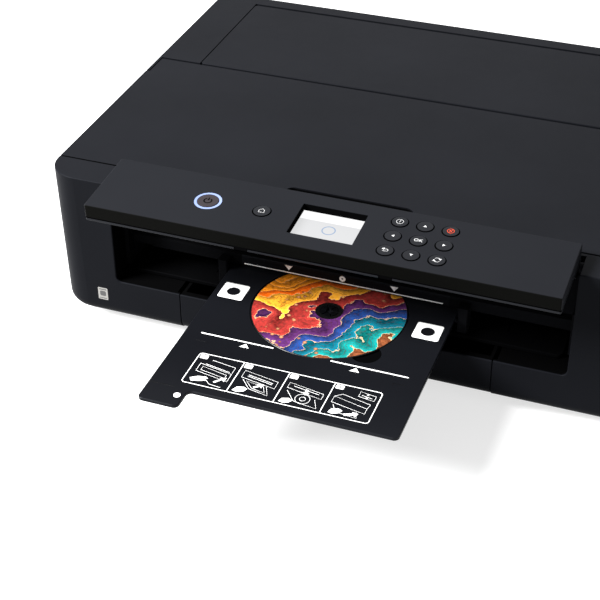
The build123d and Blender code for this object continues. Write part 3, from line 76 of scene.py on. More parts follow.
class Paint:
    # one material, or the world; its node method makes every node that it has
    def __init__(self, name, store=bpy.data.materials):
        self.result = store.new(name)
        self.result.use_nodes = True
        self.tree = self.result.node_tree
        self.tree.nodes.clear()

    def node(self, kind, settings, sockets, output=0):
        made = self.tree.nodes.new(kind)
        for key, value in settings.items():
            if key == "stops":
                ramp = made.color_ramp
                while len(ramp.elements) < len(value):
                    ramp.elements.new(0.5)
                for element, (place, colour) in zip(ramp.elements, value):
                    element.position = place
                    element.color = (*colour, 1)
            else:
                setattr(made, key, value)
        for key, value in sockets.items():
            socket = made.inputs[key]
            if isinstance(value, Signal):
                self.tree.links.new(value.socket, socket)
            elif isinstance(value, (tuple, list)) and len(value) == 3 and len(socket.default_value) == 4:
                socket.default_value = (*value, 1)
            else:
                socket.default_value = value
        return Signal(self, made.outputs[output]) if made.outputs else None

    def maths(self, operation, *values):
        return self.node("ShaderNodeMath", {"operation": operation}, dict(enumerate(values)))

    def place(self):
        return self.node("ShaderNodeTexCoord", {}, {}, "Object")

    def noise(self, scale, detail=2.0, roughness=0.5, vector=None):
        sockets = {"Scale": scale, "Detail": detail, "Roughness": roughness, "Vector": vector or self.place()}
        return self.node("ShaderNodeTexNoise", {}, sockets)

    def ranged(self, value, low, high, toLow, toHigh):
        sockets = {"Value": value, "From Min": low, "From Max": high, "To Min": toLow, "To Max": toHigh}
        return self.node("ShaderNodeMapRange", {}, sockets)

    def mixed(self, amount, first, second, blend="MIX"):
        # a Mix node's colours are its sockets 6 and 7, and its mixed colour is output 2
        settings = {"data_type": "RGBA", "blend_type": blend}
        return self.node("ShaderNodeMix", settings, {"Factor": amount, 6: first, 7: second}, 2)

    def clouded(self, cloud, first, second):
        return self.mixed(self.ranged(cloud, 0.3, 0.7, 0.0, 1.0), first, second)

    def bumped(self, height, strength, depth=0.0001, edge=None):
        # edge is the radius at which sharp edges look rounded and catch the light
        sockets = {"Strength": strength, "Distance": depth, "Height": height}
        if edge:
            sockets["Normal"] = self.node("ShaderNodeBevel", {"samples": 4}, {"Radius": edge})
        return self.node("ShaderNodeBump", {}, sockets)

    def axes(self, vector=None):
        split = self.node("ShaderNodeSeparateXYZ", {}, {"Vector": vector or self.place()})
        outputs = split.socket.node.outputs
        return [Signal(self, outputs[name]) for name in "XYZ"]

    def finish(self, sockets, paintedShadeAndMatt=None):
        # the black mix: painted shade, 1 in gaps, in recesses and on inner walls; for a matt ink it takes the sheen
        # away
        shader = self.node("ShaderNodeBsdfPrincipled", {}, sockets)
        if paintedShadeAndMatt is not None:
            black = self.node("ShaderNodeBsdfDiffuse", {}, {"Color": shadeAndMattBlack})
            shader = self.node("ShaderNodeMixShader", {}, {0: paintedShadeAndMatt, 1: shader, 2: black})
        self.node("ShaderNodeOutputMaterial", {}, {"Surface": shader})
        return self.result


# the flat black of painted shade, and of matt ink
shadeAndMattBlack = (0.0012, 0.0012, 0.0013)
coolGloss = (0.9, 0.94, 1.0)  # the tint of the black plastics' sheen
softEdge = 0.0004
panelFrame = {  # the front edge of the control panel's face, and the direction up the face
    "originY": frontY - 0.04443, "originZ": 0.14447, "alongY": 0.99774, "alongZ": 0.06714,
}


def scaled(colour, share):
    return [c * share for c in colour]


def insideBox(paint, box):
    # 1 inside a box of the frame, 0 outside it
    inside = 1.0
    for axis, (low, high) in zip(paint.axes(), box):
        inside = (axis > low) * (axis < high) * inside
    return inside


def panelAxes(paint):
    # across the control panel, up its face from its front edge, and out of the face
    x, y, z = paint.axes()
    y, z = y - panelFrame["originY"], z - panelFrame["originZ"]
    up = y * panelFrame["alongY"] + z * panelFrame["alongZ"]
    out = z * panelFrame["alongY"] - y * panelFrame["alongZ"]
    return x, up, out


plasticLook = {  # what a plastic has when its own look doesn't say
    "cloud": 9.0, "dark": 0.88, "light": 1.12, "dust": 70.0, "dustShare": 0.1, "sparkle": 0.08, "specular": 0.5,
    "paintedShadeAndMatt": [],
}


def mouldedPlastic(name, ownLook):
    # spark-textured plastic: a fine grain, slight cloudiness, soft edges that catch the light
    paint = Paint(name)
    look = {**plasticLook, **ownLook}
    grain = paint.noise(look["grain"], 2.0, 0.6)
    cloud = paint.noise(look["cloud"], 3.0)
    dust = paint.noise(look["dust"], 4.0, 0.65)
    colour = paint.clouded(cloud, scaled(look["colour"], look["dark"]), scaled(look["colour"], look["light"]))
    rough = look["roughness"] + (dust - 0.5) * look["dustShare"] + (grain - 0.5) * look["sparkle"]
    paintedShadeAndMatt = None
    if "paintedFrontShade" in look:
        # painted shade: the walls that face the front are mixed toward black, darker than the top
        facing = paint.axes(paint.node("ShaderNodeNewGeometry", {}, {}, "Normal"))[1]
        paintedShadeAndMatt = paint.ranged(facing, -0.95, -0.35, look["paintedFrontShade"], 0.0)
    # painted shade in the boxes that the look lists
    for share, box in look["paintedShadeAndMatt"]:
        dark = insideBox(paint, box) * share
        paintedShadeAndMatt = dark if paintedShadeAndMatt is None else paint.maths("MAXIMUM", paintedShadeAndMatt, dark)
    return paint.finish({
        "Base Color": colour, "Roughness": rough, "Normal": paint.bumped(grain, look["bump"], edge=softEdge),
        "Specular IOR Level": look["specular"], "Specular Tint": coolGloss,
    }, paintedShadeAndMatt)


panelLook = {
    "low": (0.0075, 0.0080, 0.0098), "high": (0.0088, 0.0093, 0.0112), "cloud": 7.0, "roughness": 0.44,
    "grain": 2600.0, "grainShare": 0.08, "bump": 0.12, "specular": 0.026,
    "band": (0.0016, 0.0016, 0.0011), "bandFrom": 0.0002, "bandTo": 0.0006, "bandRoughness": 0.5, "bandShade": 0.4,
    "insideX": 0.178, "insideUp": (0.0026, 0.0635), "holeDepth": 0.0003,  # where the openings are, whose walls get painted shade
    "seamDepth": 0.0104,  # painted shade past this depth, where the face meets the back, round the outside
}


def panelFaceFinish(name, look):
    # satin top; the front band is darker, smoother and a little olive; painted shade is mixed over the band, into the
    # openings and past the seam's depth
    paint = Paint(name)
    x, up, out = panelAxes(paint)
    band = paint.ranged(up, look["bandFrom"], look["bandTo"], 1.0, 0.0)
    low, high = look["insideUp"]
    inside = (x > -look["insideX"]) * (x < look["insideX"]) * (up > low) * (up < high)
    paintedShadeAndMatt = (out < -look["holeDepth"]) * inside + (out < -look["seamDepth"]) * (1.0 - inside)
    paintedShadeAndMatt = paint.maths("MAXIMUM", paintedShadeAndMatt, band * look["bandShade"])
    grain = paint.noise(look["grain"], 2.0, 0.6)
    top = paint.clouded(paint.noise(look["cloud"], 2.0), look["low"], look["high"])
    rough = paint.ranged(band, 0.0, 1.0, look["roughness"], look["bandRoughness"])
    return paint.finish({
        "Base Color": paint.mixed(band, top, look["band"]), "Roughness": rough + (grain - 0.5) * look["grainShare"],
        "Normal": paint.bumped(grain, look["bump"], edge=softEdge),
        "Specular IOR Level": look["specular"], "Specular Tint": coolGloss,
    }, paintedShadeAndMatt)


panelPartLook = {"cloud": 12.0, "dark": 0.9, "grainShare": 0.1}


def panelPlastic(name, ownLook):
    # plastic on the panel, with painted shade between two depths, counted outward from the panel's face: the keys'
    # sides and the back's seam
    paint = Paint(name)
    look = {**panelPartLook, **ownLook}
    grain = paint.noise(look["grain"], 2.0, 0.6)
    out = panelAxes(paint)[2]
    paintedShadeAndMatt = (out < look["gapFrom"]) * (out > look["gapTo"])
    colour = paint.clouded(paint.noise(look["cloud"], 2.0), scaled(look["colour"], look["dark"]), look["colour"])
    return paint.finish({
        "Base Color": colour, "Roughness": look["roughness"] + (grain - 0.5) * look["grainShare"],
        "Normal": paint.bumped(grain, look["bump"]),
        "Specular IOR Level": look["specular"], "Specular Tint": coolGloss,
    }, paintedShadeAndMatt)


metalLook = {"line": 60.0, "lineShare": 0.22, "bump": 0.08, "mottle": 45.0, "dark": 0.8}


def metal(name, ownLook):
    # rolled or ground steel: streaks one way and a faint mottling
    paint = Paint(name)
    look = {**metalLook, **ownLook}
    stretched = paint.node("ShaderNodeMapping", {}, {"Vector": paint.place(), "Scale": look["streak"]})
    streak = paint.noise(look["line"], 3.0, 0.6, stretched)
    mottle = paint.ranged(paint.noise(look["mottle"], 3.0), 0.35, 0.65, 0.0, 1.0)
    return paint.finish({
        "Base Color": paint.mixed(mottle, scaled(look["colour"], look["dark"]), look["colour"]), "Metallic": 1.0,
        "Roughness": look["roughness"] + (streak - 0.5) * look["lineShare"],
        "Normal": paint.bumped(streak, look["bump"]),
    })


rubberLook = {"wear": 30.0, "pale": 1.5, "roughness": 0.82, "grainShare": 0.2, "bump": 0.3, "depth": 0.0002}


def rubber(name, ownLook):
    # dull and worn paler in patches
    paint = Paint(name)
    look = {**rubberLook, **ownLook}
    grain = paint.noise(look["grain"], 3.0, 0.7)
    wear = paint.ranged(paint.noise(look["wear"], 3.0), 0.35, 0.7, 0.0, 1.0)
    return paint.finish({
        "Base Color": paint.mixed(wear, look["colour"], scaled(look["colour"], look["pale"])),
        "Roughness": look["roughness"] + (grain - 0.5) * look["grainShare"],
        "Normal": paint.bumped(grain, look["bump"], look["depth"]),
    })


boardLook = {
    "mask": (0.01, 0.07, 0.03), "track": (0.03, 0.16, 0.06), "cells": 260.0, "trackEdge": (0.02, 0.05),
    "trackShare": 0.7, "socketsFrom": frontY + 0.344, "socket": (0.03, 0.03, 0.032),
    "roughness": 0.38, "patch": 80.0, "patchShare": 0.12, "bump": 0.25, "depth": 0.0002,
}


def circuitBoard(name, look):
    # solder mask over copper tracks, and the dark sockets at the back
    paint = Paint(name)
    cells = {"Scale": look["cells"], "Vector": paint.place(), "Randomness": 1.0}
    tracks = paint.node("ShaderNodeTexVoronoi", {"feature": "DISTANCE_TO_EDGE"}, cells, "Distance")
    line = paint.ranged(tracks, *look["trackEdge"], 1.0, 0.0)
    colour = paint.mixed(line * look["trackShare"], look["mask"], look["track"])
    colour = paint.mixed(paint.axes()[1] > look["socketsFrom"], colour, look["socket"])
    return paint.finish({
        "Base Color": colour, "Roughness": look["roughness"] + paint.noise(look["patch"], 2.0) * look["patchShare"],
        "Normal": paint.bumped(line, look["bump"], look["depth"]),
    })


screenLook = {
    "glass": (0.02, 0.02, 0.022), "pageLow": (0.72, 0.725, 0.73), "pageHigh": (0.70, 0.705, 0.71),
    "lowUp": 0.0143, "headingUp": 0.0425, "headingEdge": 0.0001, "heading": (1.0, 1.0, 1.0),
    "ringX": 0.0012, "ringUp": 0.0335, "ringRadius": 0.0048, "ringHalf": (0.0003, 0.0006), "ring": (0.28, 0.40, 0.60),
    "strength": 1.0, "roughness": 0.2, "pixels": 3000.0, "pixelShare": 0.05, "specular": 0.2,
}


def screenPicture(name, look):
    # a lit picture: a pale page, a brighter heading bar and a thin waiting ring
    paint = Paint(name)
    x, up = panelAxes(paint)[:2]
    across, along = x - look["ringX"], up - look["ringUp"]
    distance = paint.maths("SQRT", across * across + along * along)
    away = paint.maths("ABSOLUTE", distance - look["ringRadius"])
    headingUp, edge = look["headingUp"], look["headingEdge"]
    page = paint.mixed(paint.ranged(up, look["lowUp"], headingUp, 0.0, 1.0), look["pageLow"], look["pageHigh"])
    page = paint.mixed(paint.ranged(up, headingUp - edge, headingUp + edge, 0.0, 1.0), page, look["heading"])
    picture = paint.mixed(paint.ranged(away, *look["ringHalf"], 1.0, 0.0), page, look["ring"])
    return paint.finish({
        "Base Color": look["glass"], "Emission Color": picture, "Emission Strength": look["strength"],
        "Roughness": look["roughness"] + paint.noise(look["pixels"], 1.0) * look["pixelShare"],
        "Specular IOR Level": look["specular"],
    })


ringLook = {
    "body": (0.12, 0.16, 0.3), "cool": (0.2, 0.28, 0.62), "warm": (0.42, 0.5, 0.78),
    "left": -0.104, "right": -0.083, "strength": 0.45, "roughness": 0.3, "patch": 200.0, "patchShare": 0.1,
}


def glowingRing(name, look):
    # a soft light, cooler at its left end
    paint = Paint(name)
    sideways = paint.ranged(paint.axes()[0], look["left"], look["right"], 0.0, 1.0)
    return paint.finish({
        "Base Color": look["body"], "Emission Color": paint.mixed(sideways, look["cool"], look["warm"]),
        "Emission Strength": look["strength"],
        "Roughness": look["roughness"] + paint.noise(look["patch"], 2.0) * look["patchShare"],
    })


discLook = {
    "centreY": frontY - 0.0043, "hub": 0.01065, "rim": 0.0590, "edge": 0.0002,
    "hubColour": (0.0025, 0.0025, 0.0025), "rimColour": (0.004, 0.004, 0.004),
    "slantX": 0.62, "slantY": -0.78, "ribbons": 70.0, "start": 4.2, "ribbonCount": 9.0,
    "swayScale": 17.0, "sway": 9.0, "rippleScale": 75.0, "ripple": 1.6, "fineScale": 420.0,
    "ribbonColours": [
        (0.05, (0.86, 0.27, 0.012)), (0.16, (0.75, 0.10, 0.003)), (0.28, (0.93, 0.40, 0.03)),
        (0.39, (0.30, 0.022, 0.022)), (0.5, (0.075, 0.018, 0.10)), (0.61, (0.012, 0.045, 0.19)),
        (0.72, (0.0, 0.14, 0.20)), (0.84, (0.004, 0.24, 0.22)), (0.95, (0.30, 0.075, 0.02)),
    ],
    "foldDark": 0.25, "foldLight": 1.25, "foldFine": 1.6, "foldRipple": 0.9, "foldShare": 0.9,
    "lines": 4.0, "lineWidth": (0.72, 0.9), "lineShare": 0.55, "lineColour": (0.05, 0.016, 0.012),
    "crestWidth": (0.95, 0.98), "crestShare": 0.6, "crest": (0.98, 0.62, 0.30),
    "dotScale": 150.0, "dotEdge": (0.24, 0.29), "dotLight": (0.72, 0.33, 0.16), "dotDark": (0.10, 0.028, 0.012),
    "dotShaded": 0.26, "patchScale": 26.0, "patchEdge": (0.52, 0.56),
    "roughness": 0.34, "fineShare": 0.1, "specular": 0.25,
}


def discPrint(name, look):
    # an abstract print: layered ribbons from warm to cool, each shaded like folded paper, with dots
    paint = Paint(name)
    centred = paint.node("ShaderNodeMapping", {}, {"Vector": paint.place(), "Location": (0.0, -look["centreY"], 0.0)})
    x, y = paint.axes(centred)[:2]
    sway = paint.noise(look["swayScale"], 2.0, 0.5, centred)
    ripple = paint.noise(look["rippleScale"], 5.0, 0.6, centred)
    fine = paint.noise(look["fineScale"], 5.0, 0.7, centred)
    slant = (x * look["slantX"] + y * look["slantY"]) * look["ribbons"]
    flow = slant + (sway - 0.5) * look["sway"] + (ripple - 0.5) * look["ripple"] + look["start"]
    ribbon = paint.maths("FLOOR", flow)
    within = flow - ribbon
    stop = {"Fac": (ribbon + 0.5) / look["ribbonCount"]}
    colour = paint.node("ShaderNodeValToRGB", {"stops": look["ribbonColours"]}, stop)
    fold = paint.ranged(within, 0.0, 1.0, look["foldDark"], look["foldLight"])
    fold = fold + (fine - 0.5) * look["foldFine"] + (ripple - 0.5) * look["foldRipple"]
    shade = paint.node("ShaderNodeCombineColor", {}, {0: fold, 1: fold, 2: fold})
    colour = paint.mixed(look["foldShare"], colour, shade, "MULTIPLY")
    line = paint.maths("FRACT", flow * look["lines"])
    colour = paint.mixed(paint.ranged(line, *look["lineWidth"], 0.0, look["lineShare"]), colour, look["lineColour"])
    colour = paint.mixed(paint.ranged(within, *look["crestWidth"], 0.0, look["crestShare"]), colour, look["crest"])
    cells = {"Scale": look["dotScale"], "Vector": centred, "Randomness": 1.0}
    dots = paint.node("ShaderNodeTexVoronoi", {"feature": "F1"}, cells, "Distance")
    patch = paint.ranged(paint.noise(look["patchScale"], 1.0, 0.5, centred), *look["patchEdge"], 0.0, 1.0)
    dotted = paint.ranged(dots, *look["dotEdge"], 1.0, 0.0) * patch
    dotColour = paint.mixed(paint.ranged(dots, 0.0, look["dotShaded"], 0.0, 1.0), look["dotLight"], look["dotDark"])
    colour = paint.mixed(dotted, colour, dotColour)
    radius = paint.maths("SQRT", x * x + y * y)
    clamping = paint.ranged(radius, look["hub"], look["hub"] + look["edge"], 1.0, 0.0)
    rim = paint.ranged(radius, look["rim"], look["rim"] + look["edge"], 0.0, 1.0)
    colour = paint.mixed(clamping, colour, look["hubColour"])
    colour = paint.mixed(rim, colour, look["rimColour"])
    return paint.finish({
        "Base Color": colour, "Roughness": look["roughness"] + (fine - 0.5) * look["fineShare"],
        "Specular IOR Level": look["specular"],
    })


inkLook = {"patch": 900.0, "dark": 0.9, "roughness": 0.5, "patchShare": 0.1, "specular": 0.3, "matt": None}


def printInk(name, ownLook):
    # screen-printed ink, slightly uneven; a matt ink has hardly any sheen
    paint = Paint(name)
    look = {**inkLook, **ownLook}
    patch = paint.noise(look["patch"], 2.0)
    return paint.finish({
        "Base Color": paint.mixed(patch, scaled(look["colour"], look["dark"]), look["colour"]),
        "Roughness": look["roughness"] + (patch - 0.5) * look["patchShare"], "Specular IOR Level": look["specular"],
    }, look["matt"])


feltLook = {
    "low": (0.35, 0.35, 0.33), "high": (0.62, 0.61, 0.58), "fibres": 1500.0, "fibreShare": 0.6,
    "clumps": 90.0, "clumpShare": 0.4, "roughness": 0.95, "clumpRough": 0.05, "bump": 0.7, "depth": 0.0004,
}


def felt(name, look):
    # pressed fibres in clumps
    paint = Paint(name)
    fibres = paint.noise(look["fibres"], 5.0, 0.75)
    clump = paint.noise(look["clumps"], 3.0)
    pale = fibres * look["fibreShare"] + clump * look["clumpShare"]
    return paint.finish({
        "Base Color": paint.mixed(pale, look["low"], look["high"]),
        "Roughness": look["roughness"] - clump * look["clumpRough"],
        "Normal": paint.bumped(fibres, look["bump"], look["depth"]),
    })


caseLook = {
    "colour": (0.0052, 0.0056, 0.0072), "roughness": 0.47, "grain": 2000.0, "bump": 0.34, "specular": 0.032,
    # painted shade on the front walls, and in the boxes below
    "sparkle": 0.16, "paintedFrontShade": 0.35,
    "paintedShadeAndMatt": [  # painted shade: how dark, and the box along X, Y and Z
        (1.0, ((-0.1838, 0.1838), (frontY + 0.0012, frontY + 0.0268), (0.0450, 0.1338))),  # recess walls
        (1.0, ((-0.1838, 0.1838), (frontY + 0.0268, frontY + 0.0270), (0.0450, 0.1200))),  # recess back
        (1.0, ((-0.2380, 0.2380), (frontY + 0.02785, frontY + 0.0298), (0.1250, 0.1368))),  # cover's front gap
        (1.0, ((-0.1273, 0.1273), (frontY + 0.0050, frontY + 0.3000), (0.0100, 0.0470))),  # inside the cassette
        (0.85, ((-0.1838, 0.1838), (frontY + 0.0012, frontY + 0.3000), (0.0440, 0.0472))),  # recess sill
        (1.0, ((-0.0530, 0.0530), (frontY + 0.0284, frontY + 0.0455), (0.1150, 0.1354))),  # finger well
    ],
}
panLook = {"colour": (0.005, 0.005, 0.005), "roughness": 0.6, "grain": 1600.0, "bump": 0.4, "specular": 0.06}
panelBackLook = {
    "colour": (0.0105, 0.011, 0.0128), "roughness": 0.44, "grain": 2200.0, "bump": 0.2, "specular": 0.032,
    "gapFrom": -0.0100, "gapTo": -0.01165,
}
keyLook = {
    "colour": (0.0112, 0.0117, 0.0136), "roughness": 0.38, "grain": 3200.0, "bump": 0.08, "specular": 0.036,
    "gapFrom": 0.00046, "gapTo": -0.02,
}
powerKeyLook = {
    "colour": (0.026, 0.022, 0.025), "roughness": 0.4, "grain": 3200.0, "bump": 0.08, "specular": 0.038,
    "gapFrom": 0.00018, "gapTo": -0.02,
}
innerLook = {
    "colour": (0.0042, 0.0044, 0.0055), "roughness": 0.48, "grain": 1800.0, "bump": 0.2, "specular": 0.034,
    # painted shade in the front recess, behind and beside the guide bar
    "paintedShadeAndMatt": [
        (0.9, ((-0.1838, 0.1838), (frontY + 0.0300, frontY + 0.2000), (0.0400, 0.0790))),  # behind the guide bar
        (0.8, ((-0.1838, -0.0850), (frontY, frontY + 0.0301), (0.0400, 0.0900))),  # its left end
        (0.5, ((0.0850, 0.1838), (frontY, frontY + 0.0301), (0.0400, 0.0900))),  # its right end
    ],
}
trayLook = {
    "colour": (0.0042, 0.0045, 0.0058), "roughness": 0.36, "grain": 2600.0, "bump": 0.15, "specular": 0.07,
    # painted shade in the finger notch, round the hub, and on the output tray in the recess
    "paintedShadeAndMatt": [
        (1.0, ((0.029, 0.056), (frontY - 0.060, frontY - 0.033), (0.0619, 0.06405))),  # finger notch
        (0.8, ((-0.0095, 0.0095), (frontY - 0.0138, frontY + 0.0052), (0.0640, 0.0700))),  # hub
        (0.94, ((-0.1780, 0.1780), (frontY + 0.0070, frontY + 0.2500), (0.0400, 0.0620))),  # output tray, inside
        (0.6, ((-0.1780, 0.1780), (frontY - 0.0200, frontY + 0.0070), (0.0400, 0.0620))),  # output tray's front
    ],
}
guideLook = {"colour": (0.05, 0.05, 0.052), "roughness": 0.5, "grain": 1500.0, "bump": 0.2}
tankLook = {"colour": (0.03, 0.03, 0.032), "roughness": 0.4, "grain": 1500.0, "bump": 0.2}
gearLook = {"colour": (0.62, 0.61, 0.56), "roughness": 0.4, "grain": 700.0, "bump": 0.15}

finishes = {
    "case": mouldedPlastic("case charcoal", caseLook),
    "pan": mouldedPlastic("pan black", panLook),
    "panelFace": panelFaceFinish("panel face", panelLook),
    "panelBack": panelPlastic("panel back black", panelBackLook),
    "powerKey": panelPlastic("power key grey", powerKeyLook),
    "key": panelPlastic("key black", keyLook),
    "screen": screenPicture("screen picture", screenLook),
    "ring": glowingRing("power ring", ringLook),
    "board": circuitBoard("circuit board", boardLook),
    "steel": metal("ground steel", {"colour": (0.62, 0.62, 0.61), "roughness": 0.26, "streak": (0.05, 6.0, 6.0)}),
    "sheet": metal("galvanised sheet", {"colour": (0.5, 0.51, 0.52), "roughness": 0.42, "streak": (1.0, 1.0, 4.0)}),
    "motor": metal("motor can", {"colour": (0.48, 0.48, 0.47), "roughness": 0.36, "streak": (4.0, 0.3, 1.0)}),
    "head": metal("nozzle plate", {"colour": (0.46, 0.42, 0.34), "roughness": 0.3, "streak": (0.3, 6.0, 1.0)}),
    "star": metal("star steel", {"colour": (0.6, 0.6, 0.6), "roughness": 0.3, "streak": (1.0, 1.0, 1.0)}),
    "blackPart": mouldedPlastic("inner black", innerLook),
    "tray": mouldedPlastic("tray black", trayLook),
    "guide": mouldedPlastic("guide grey", guideLook),
    "disc": discPrint("disc print", discLook),
    "tank": mouldedPlastic("tank grey", tankLook),
    "gear": mouldedPlastic("gear white", gearLook),
    "roller": rubber("roller rubber", {"colour": (0.02, 0.02, 0.02), "grain": 1400.0}),
    "belt": rubber("belt rubber", {"colour": (0.012, 0.012, 0.012), "grain": 900.0}),
    "foot": rubber("foot rubber", {"colour": (0.018, 0.018, 0.018), "grain": 1100.0}),
    "felt": felt("ink felt", feltLook),
    "white": printInk("white ink", {"colour": (0.93, 0.93, 0.92)}),
    "blackInk": printInk("black ink", {"colour": (0.0015, 0.0015, 0.0015), "matt": 0.9}),
    "redInk": printInk("red ink", {"colour": (0.62, 0.07, 0.03), "specular": 0.1}),
    "legendInk": printInk("legend white", {"colour": (0.52, 0.52, 0.52), "specular": 0.1}),
    "label": printInk("label silver", {"colour": (0.20, 0.195, 0.185), "patch": 2500.0}),
    "labelInk": printInk("label grey", {"colour": (0.045, 0.045, 0.045)}),
    # painted shade of the tray's moulded grooves
    "grooveShadeInk": printInk("tray groove shade", {"colour": (0.0022, 0.0022, 0.0024), "specular": 0.1}),
}

dressing = {
    "case": ["outer_case", "top_cover", "feed_cover", "back_cover", "paper_cassette"],
    "pan": ["base_pan"], "panelFace": ["panel_face"], "panelBack": ["panel_back"],
    "key": [n for n in nodes if n.endswith("_key") and n != "power_key"], "powerKey": ["power_key"],
    "screen": ["lcd_screen"], "ring": ["power_light_ring"], "board": ["panel_board", "main_board"],
    "steel": ["guide_rod"],
    "sheet": ["left_frame", "right_frame", "carriage_rail", "power_supply"],
    "motor": ["carriage_motor", "feed_motor"], "head": ["print_head"],
    "blackPart": [
        "panel_pins", "disc_guide", "platen", "pinch_holder", "pickup_arm", "capping_station", "mains_inlet",
        "paper_chute", "carriage",
    ],
    "tray": ["disc_tray", "output_tray"],
    "guide": ["left_paper_guide", "right_paper_guide"],
    "disc": ["disc"], "tank": ["ink_cartridges"],
    "gear": ["feed_gear", "idler_gear", "exit_gear", "motor_pinion", "drive_pulley", "idler_pulley"],
    "roller": ["feed_roller", "exit_rollers", "pinch_rollers", "pickup_roller"],
    "belt": ["timing_belt"], "foot": ["rubber_feet"], "star": ["star_wheels"], "felt": ["waste_ink_pad"],
}
for finish, names in dressing.items():
    for name in names:
        mesh = nodes[name].data
        mesh.materials.clear()
        mesh.materials.append(finishes[finish])
bare = [n for n in nodes if not any(n in names for names in dressing.values())]
print("finishes:", len(finishes), "undressed nodes:", bare)


def deselectAll():
    bpy.ops.object.select_all(action="DESELECT")


inkThick = {"filled": 0.00004, "drawn": 0.00012}  # to each side of its surface, and in all


def settle(piece, place, body, finish):
    # makes the piece a mesh at the origin, with its place in its mesh, and gives it its body and its finish
    deselectAll()
    piece.select_set(True)
    bpy.context.view_layer.objects.active = piece
    if piece.type != "MESH":
        bpy.ops.object.convert(target="MESH")
        piece = bpy.context.view_layer.objects.active
    piece.matrix_world = place @ piece.matrix_world
    bpy.context.view_layer.update()
    bpy.ops.object.transform_apply(location=True, rotation=True, scale=True)
    piece.data.materials.clear()
    piece.data.materials.append(finishes[finish])
    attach(piece, body)


def inkShapes(name, loops, surface, finish):
    # filled outlines; a loop inside another is a hole
    curve = bpy.data.curves.new(name, "CURVE")
    curve.dimensions = "2D"
    curve.fill_mode = "BOTH"
    curve.extrude = inkThick["filled"]
    for loop in loops:
        line = curve.splines.new("POLY")
        line.points.add(len(loop) - 1)
        for point, (x, y) in zip(line.points, loop):
            point.co = (x * mm, y * mm, 0, 1)
        line.use_cyclic_u = True
    piece = bpy.data.objects.new(name, curve)
    bpy.context.scene.collection.objects.link(piece)
    settle(piece, surface["place"], surface["body"], finish)


def inkLines(name, strokes, width, surface, finish):
    # thin drawn lines: round wire, pressed flat onto the surface
    curve = bpy.data.curves.new(name, "CURVE")
    curve.dimensions = "3D"
    curve.bevel_depth = width * mm / 2
    curve.bevel_resolution = 1
    curve.use_fill_caps = True
    for closed, stroke in strokes:
        line = curve.splines.new("POLY")
        line.points.add(len(stroke) - 1)
        for point, (x, y) in zip(line.points, stroke):
            point.co = (x * mm, y * mm, 0, 1)
        line.use_cyclic_u = closed
    piece = bpy.data.objects.new(name, curve)
    bpy.context.scene.collection.objects.link(piece)
    piece.scale = (1, 1, inkThick["drawn"] / (width * mm))
    settle(piece, surface["place"], surface["body"], finish)


def inkText(name, words, size, at, surface, finish):
    deselectAll()
    bpy.ops.object.text_add(location=(at[0] * mm, at[1] * mm, 0))
    piece = bpy.context.view_layer.objects.active
    piece.name = name
    piece.data.body = words
    piece.data.size = size * mm
    piece.data.align_x = "CENTER"
    piece.data.align_y = "CENTER"
    piece.data.extrude = inkThick["filled"]
    piece.data.resolution_u = 3
    settle(piece, surface["place"], surface["body"], finish)


def circle(x, y, radius, steps=32, start=0.0, turn=360.0):
    count = steps if turn == 360.0 else steps + 1
    angles = [math.radians(start + turn * i / steps) for i in range(count)]
    return [(x + radius * math.cos(a), y + radius * math.sin(a)) for a in angles]


def roundedBox(x, y, width, height, radius):
    corners = []
    for cx, cy, start in ((1, 1, 0), (-1, 1, 90), (-1, -1, 180), (1, -1, 270)):
        middle = (x + cx * (width / 2 - radius), y + cy * (height / 2 - radius))
        corners += circle(*middle, radius, 5, start, 90.0)
    return corners


def triangle(x, y, width, height, turn=0):
    a = math.radians(turn)
    points = [(-width / 2, -height / 2), (width / 2, -height / 2), (0, height / 2)]
    return [(x + px * math.cos(a) - py * math.sin(a), y + px * math.sin(a) + py * math.cos(a)) for px, py in points]


def boxLoop(x, y, width, height):
    right, left, high, low = x + width / 2, x - width / 2, y + height / 2, y - height / 2
    return [(left, low), (right, low), (right, high), (left, high)]


def flatPlace(x, y, z):
    return Matrix.Translation((x * mm, y * mm + frontY, z * mm))


def panelPlace(proud):
    # X across the panel, Y up its face from its front edge, Z out of the face
    alongY, alongZ = panelFrame["alongY"], panelFrame["alongZ"]
    turned = Matrix(((1, 0, 0, 0), (0, alongY, -alongZ, 0), (0, alongZ, alongY, 0), (0, 0, 0, 1)))
    start = Matrix.Translation((0, panelFrame["originY"], panelFrame["originZ"]))
    return start @ turned @ Matrix.Translation((0, 0, proud * mm))


trayTop = {"place": flatPlace(0, 0, 64.34), "body": "disc_carrier", "slot": "tray_plastic"}
trayNumbers = {**trayTop, "place": flatPlace(0, 0, 64.42)}  # just above the white boxes
trayGrooves = {**trayTop, "place": flatPlace(0, 0, 64.3)}
trayMarks = {
    "lineY": -63.1, "lineWidth": 1.2, "lines": ((-80.6, -23.0), (21.6, 80.6)),
    "arrows": ((-43.7, -67.3), (41.8, -67.3)), "arrowSize": (7.4, 4.6),
    "squares": (-78.2, 78.2), "squareY": -5.1, "squareSize": (20.4, 20.0), "squareCorner": 1.8, "holeRadius": 5.3,
    "frame": (-71.0, 69.0, -121.5, -86.0), "frameLine": 0.75, "frameCorner": 2.5, "dividers": (-36.2, -1.0, 33.6),
    "drawnLine": 0.36, "numberAt": (4.4, 3.6), "numberBox": (6.0, 4.4), "numberCorner": 0.6, "numberSize": 4.4,
    "dot": (-67.3, -137.1), "dotRadius": 2.6, "dotHole": 0.7,
}


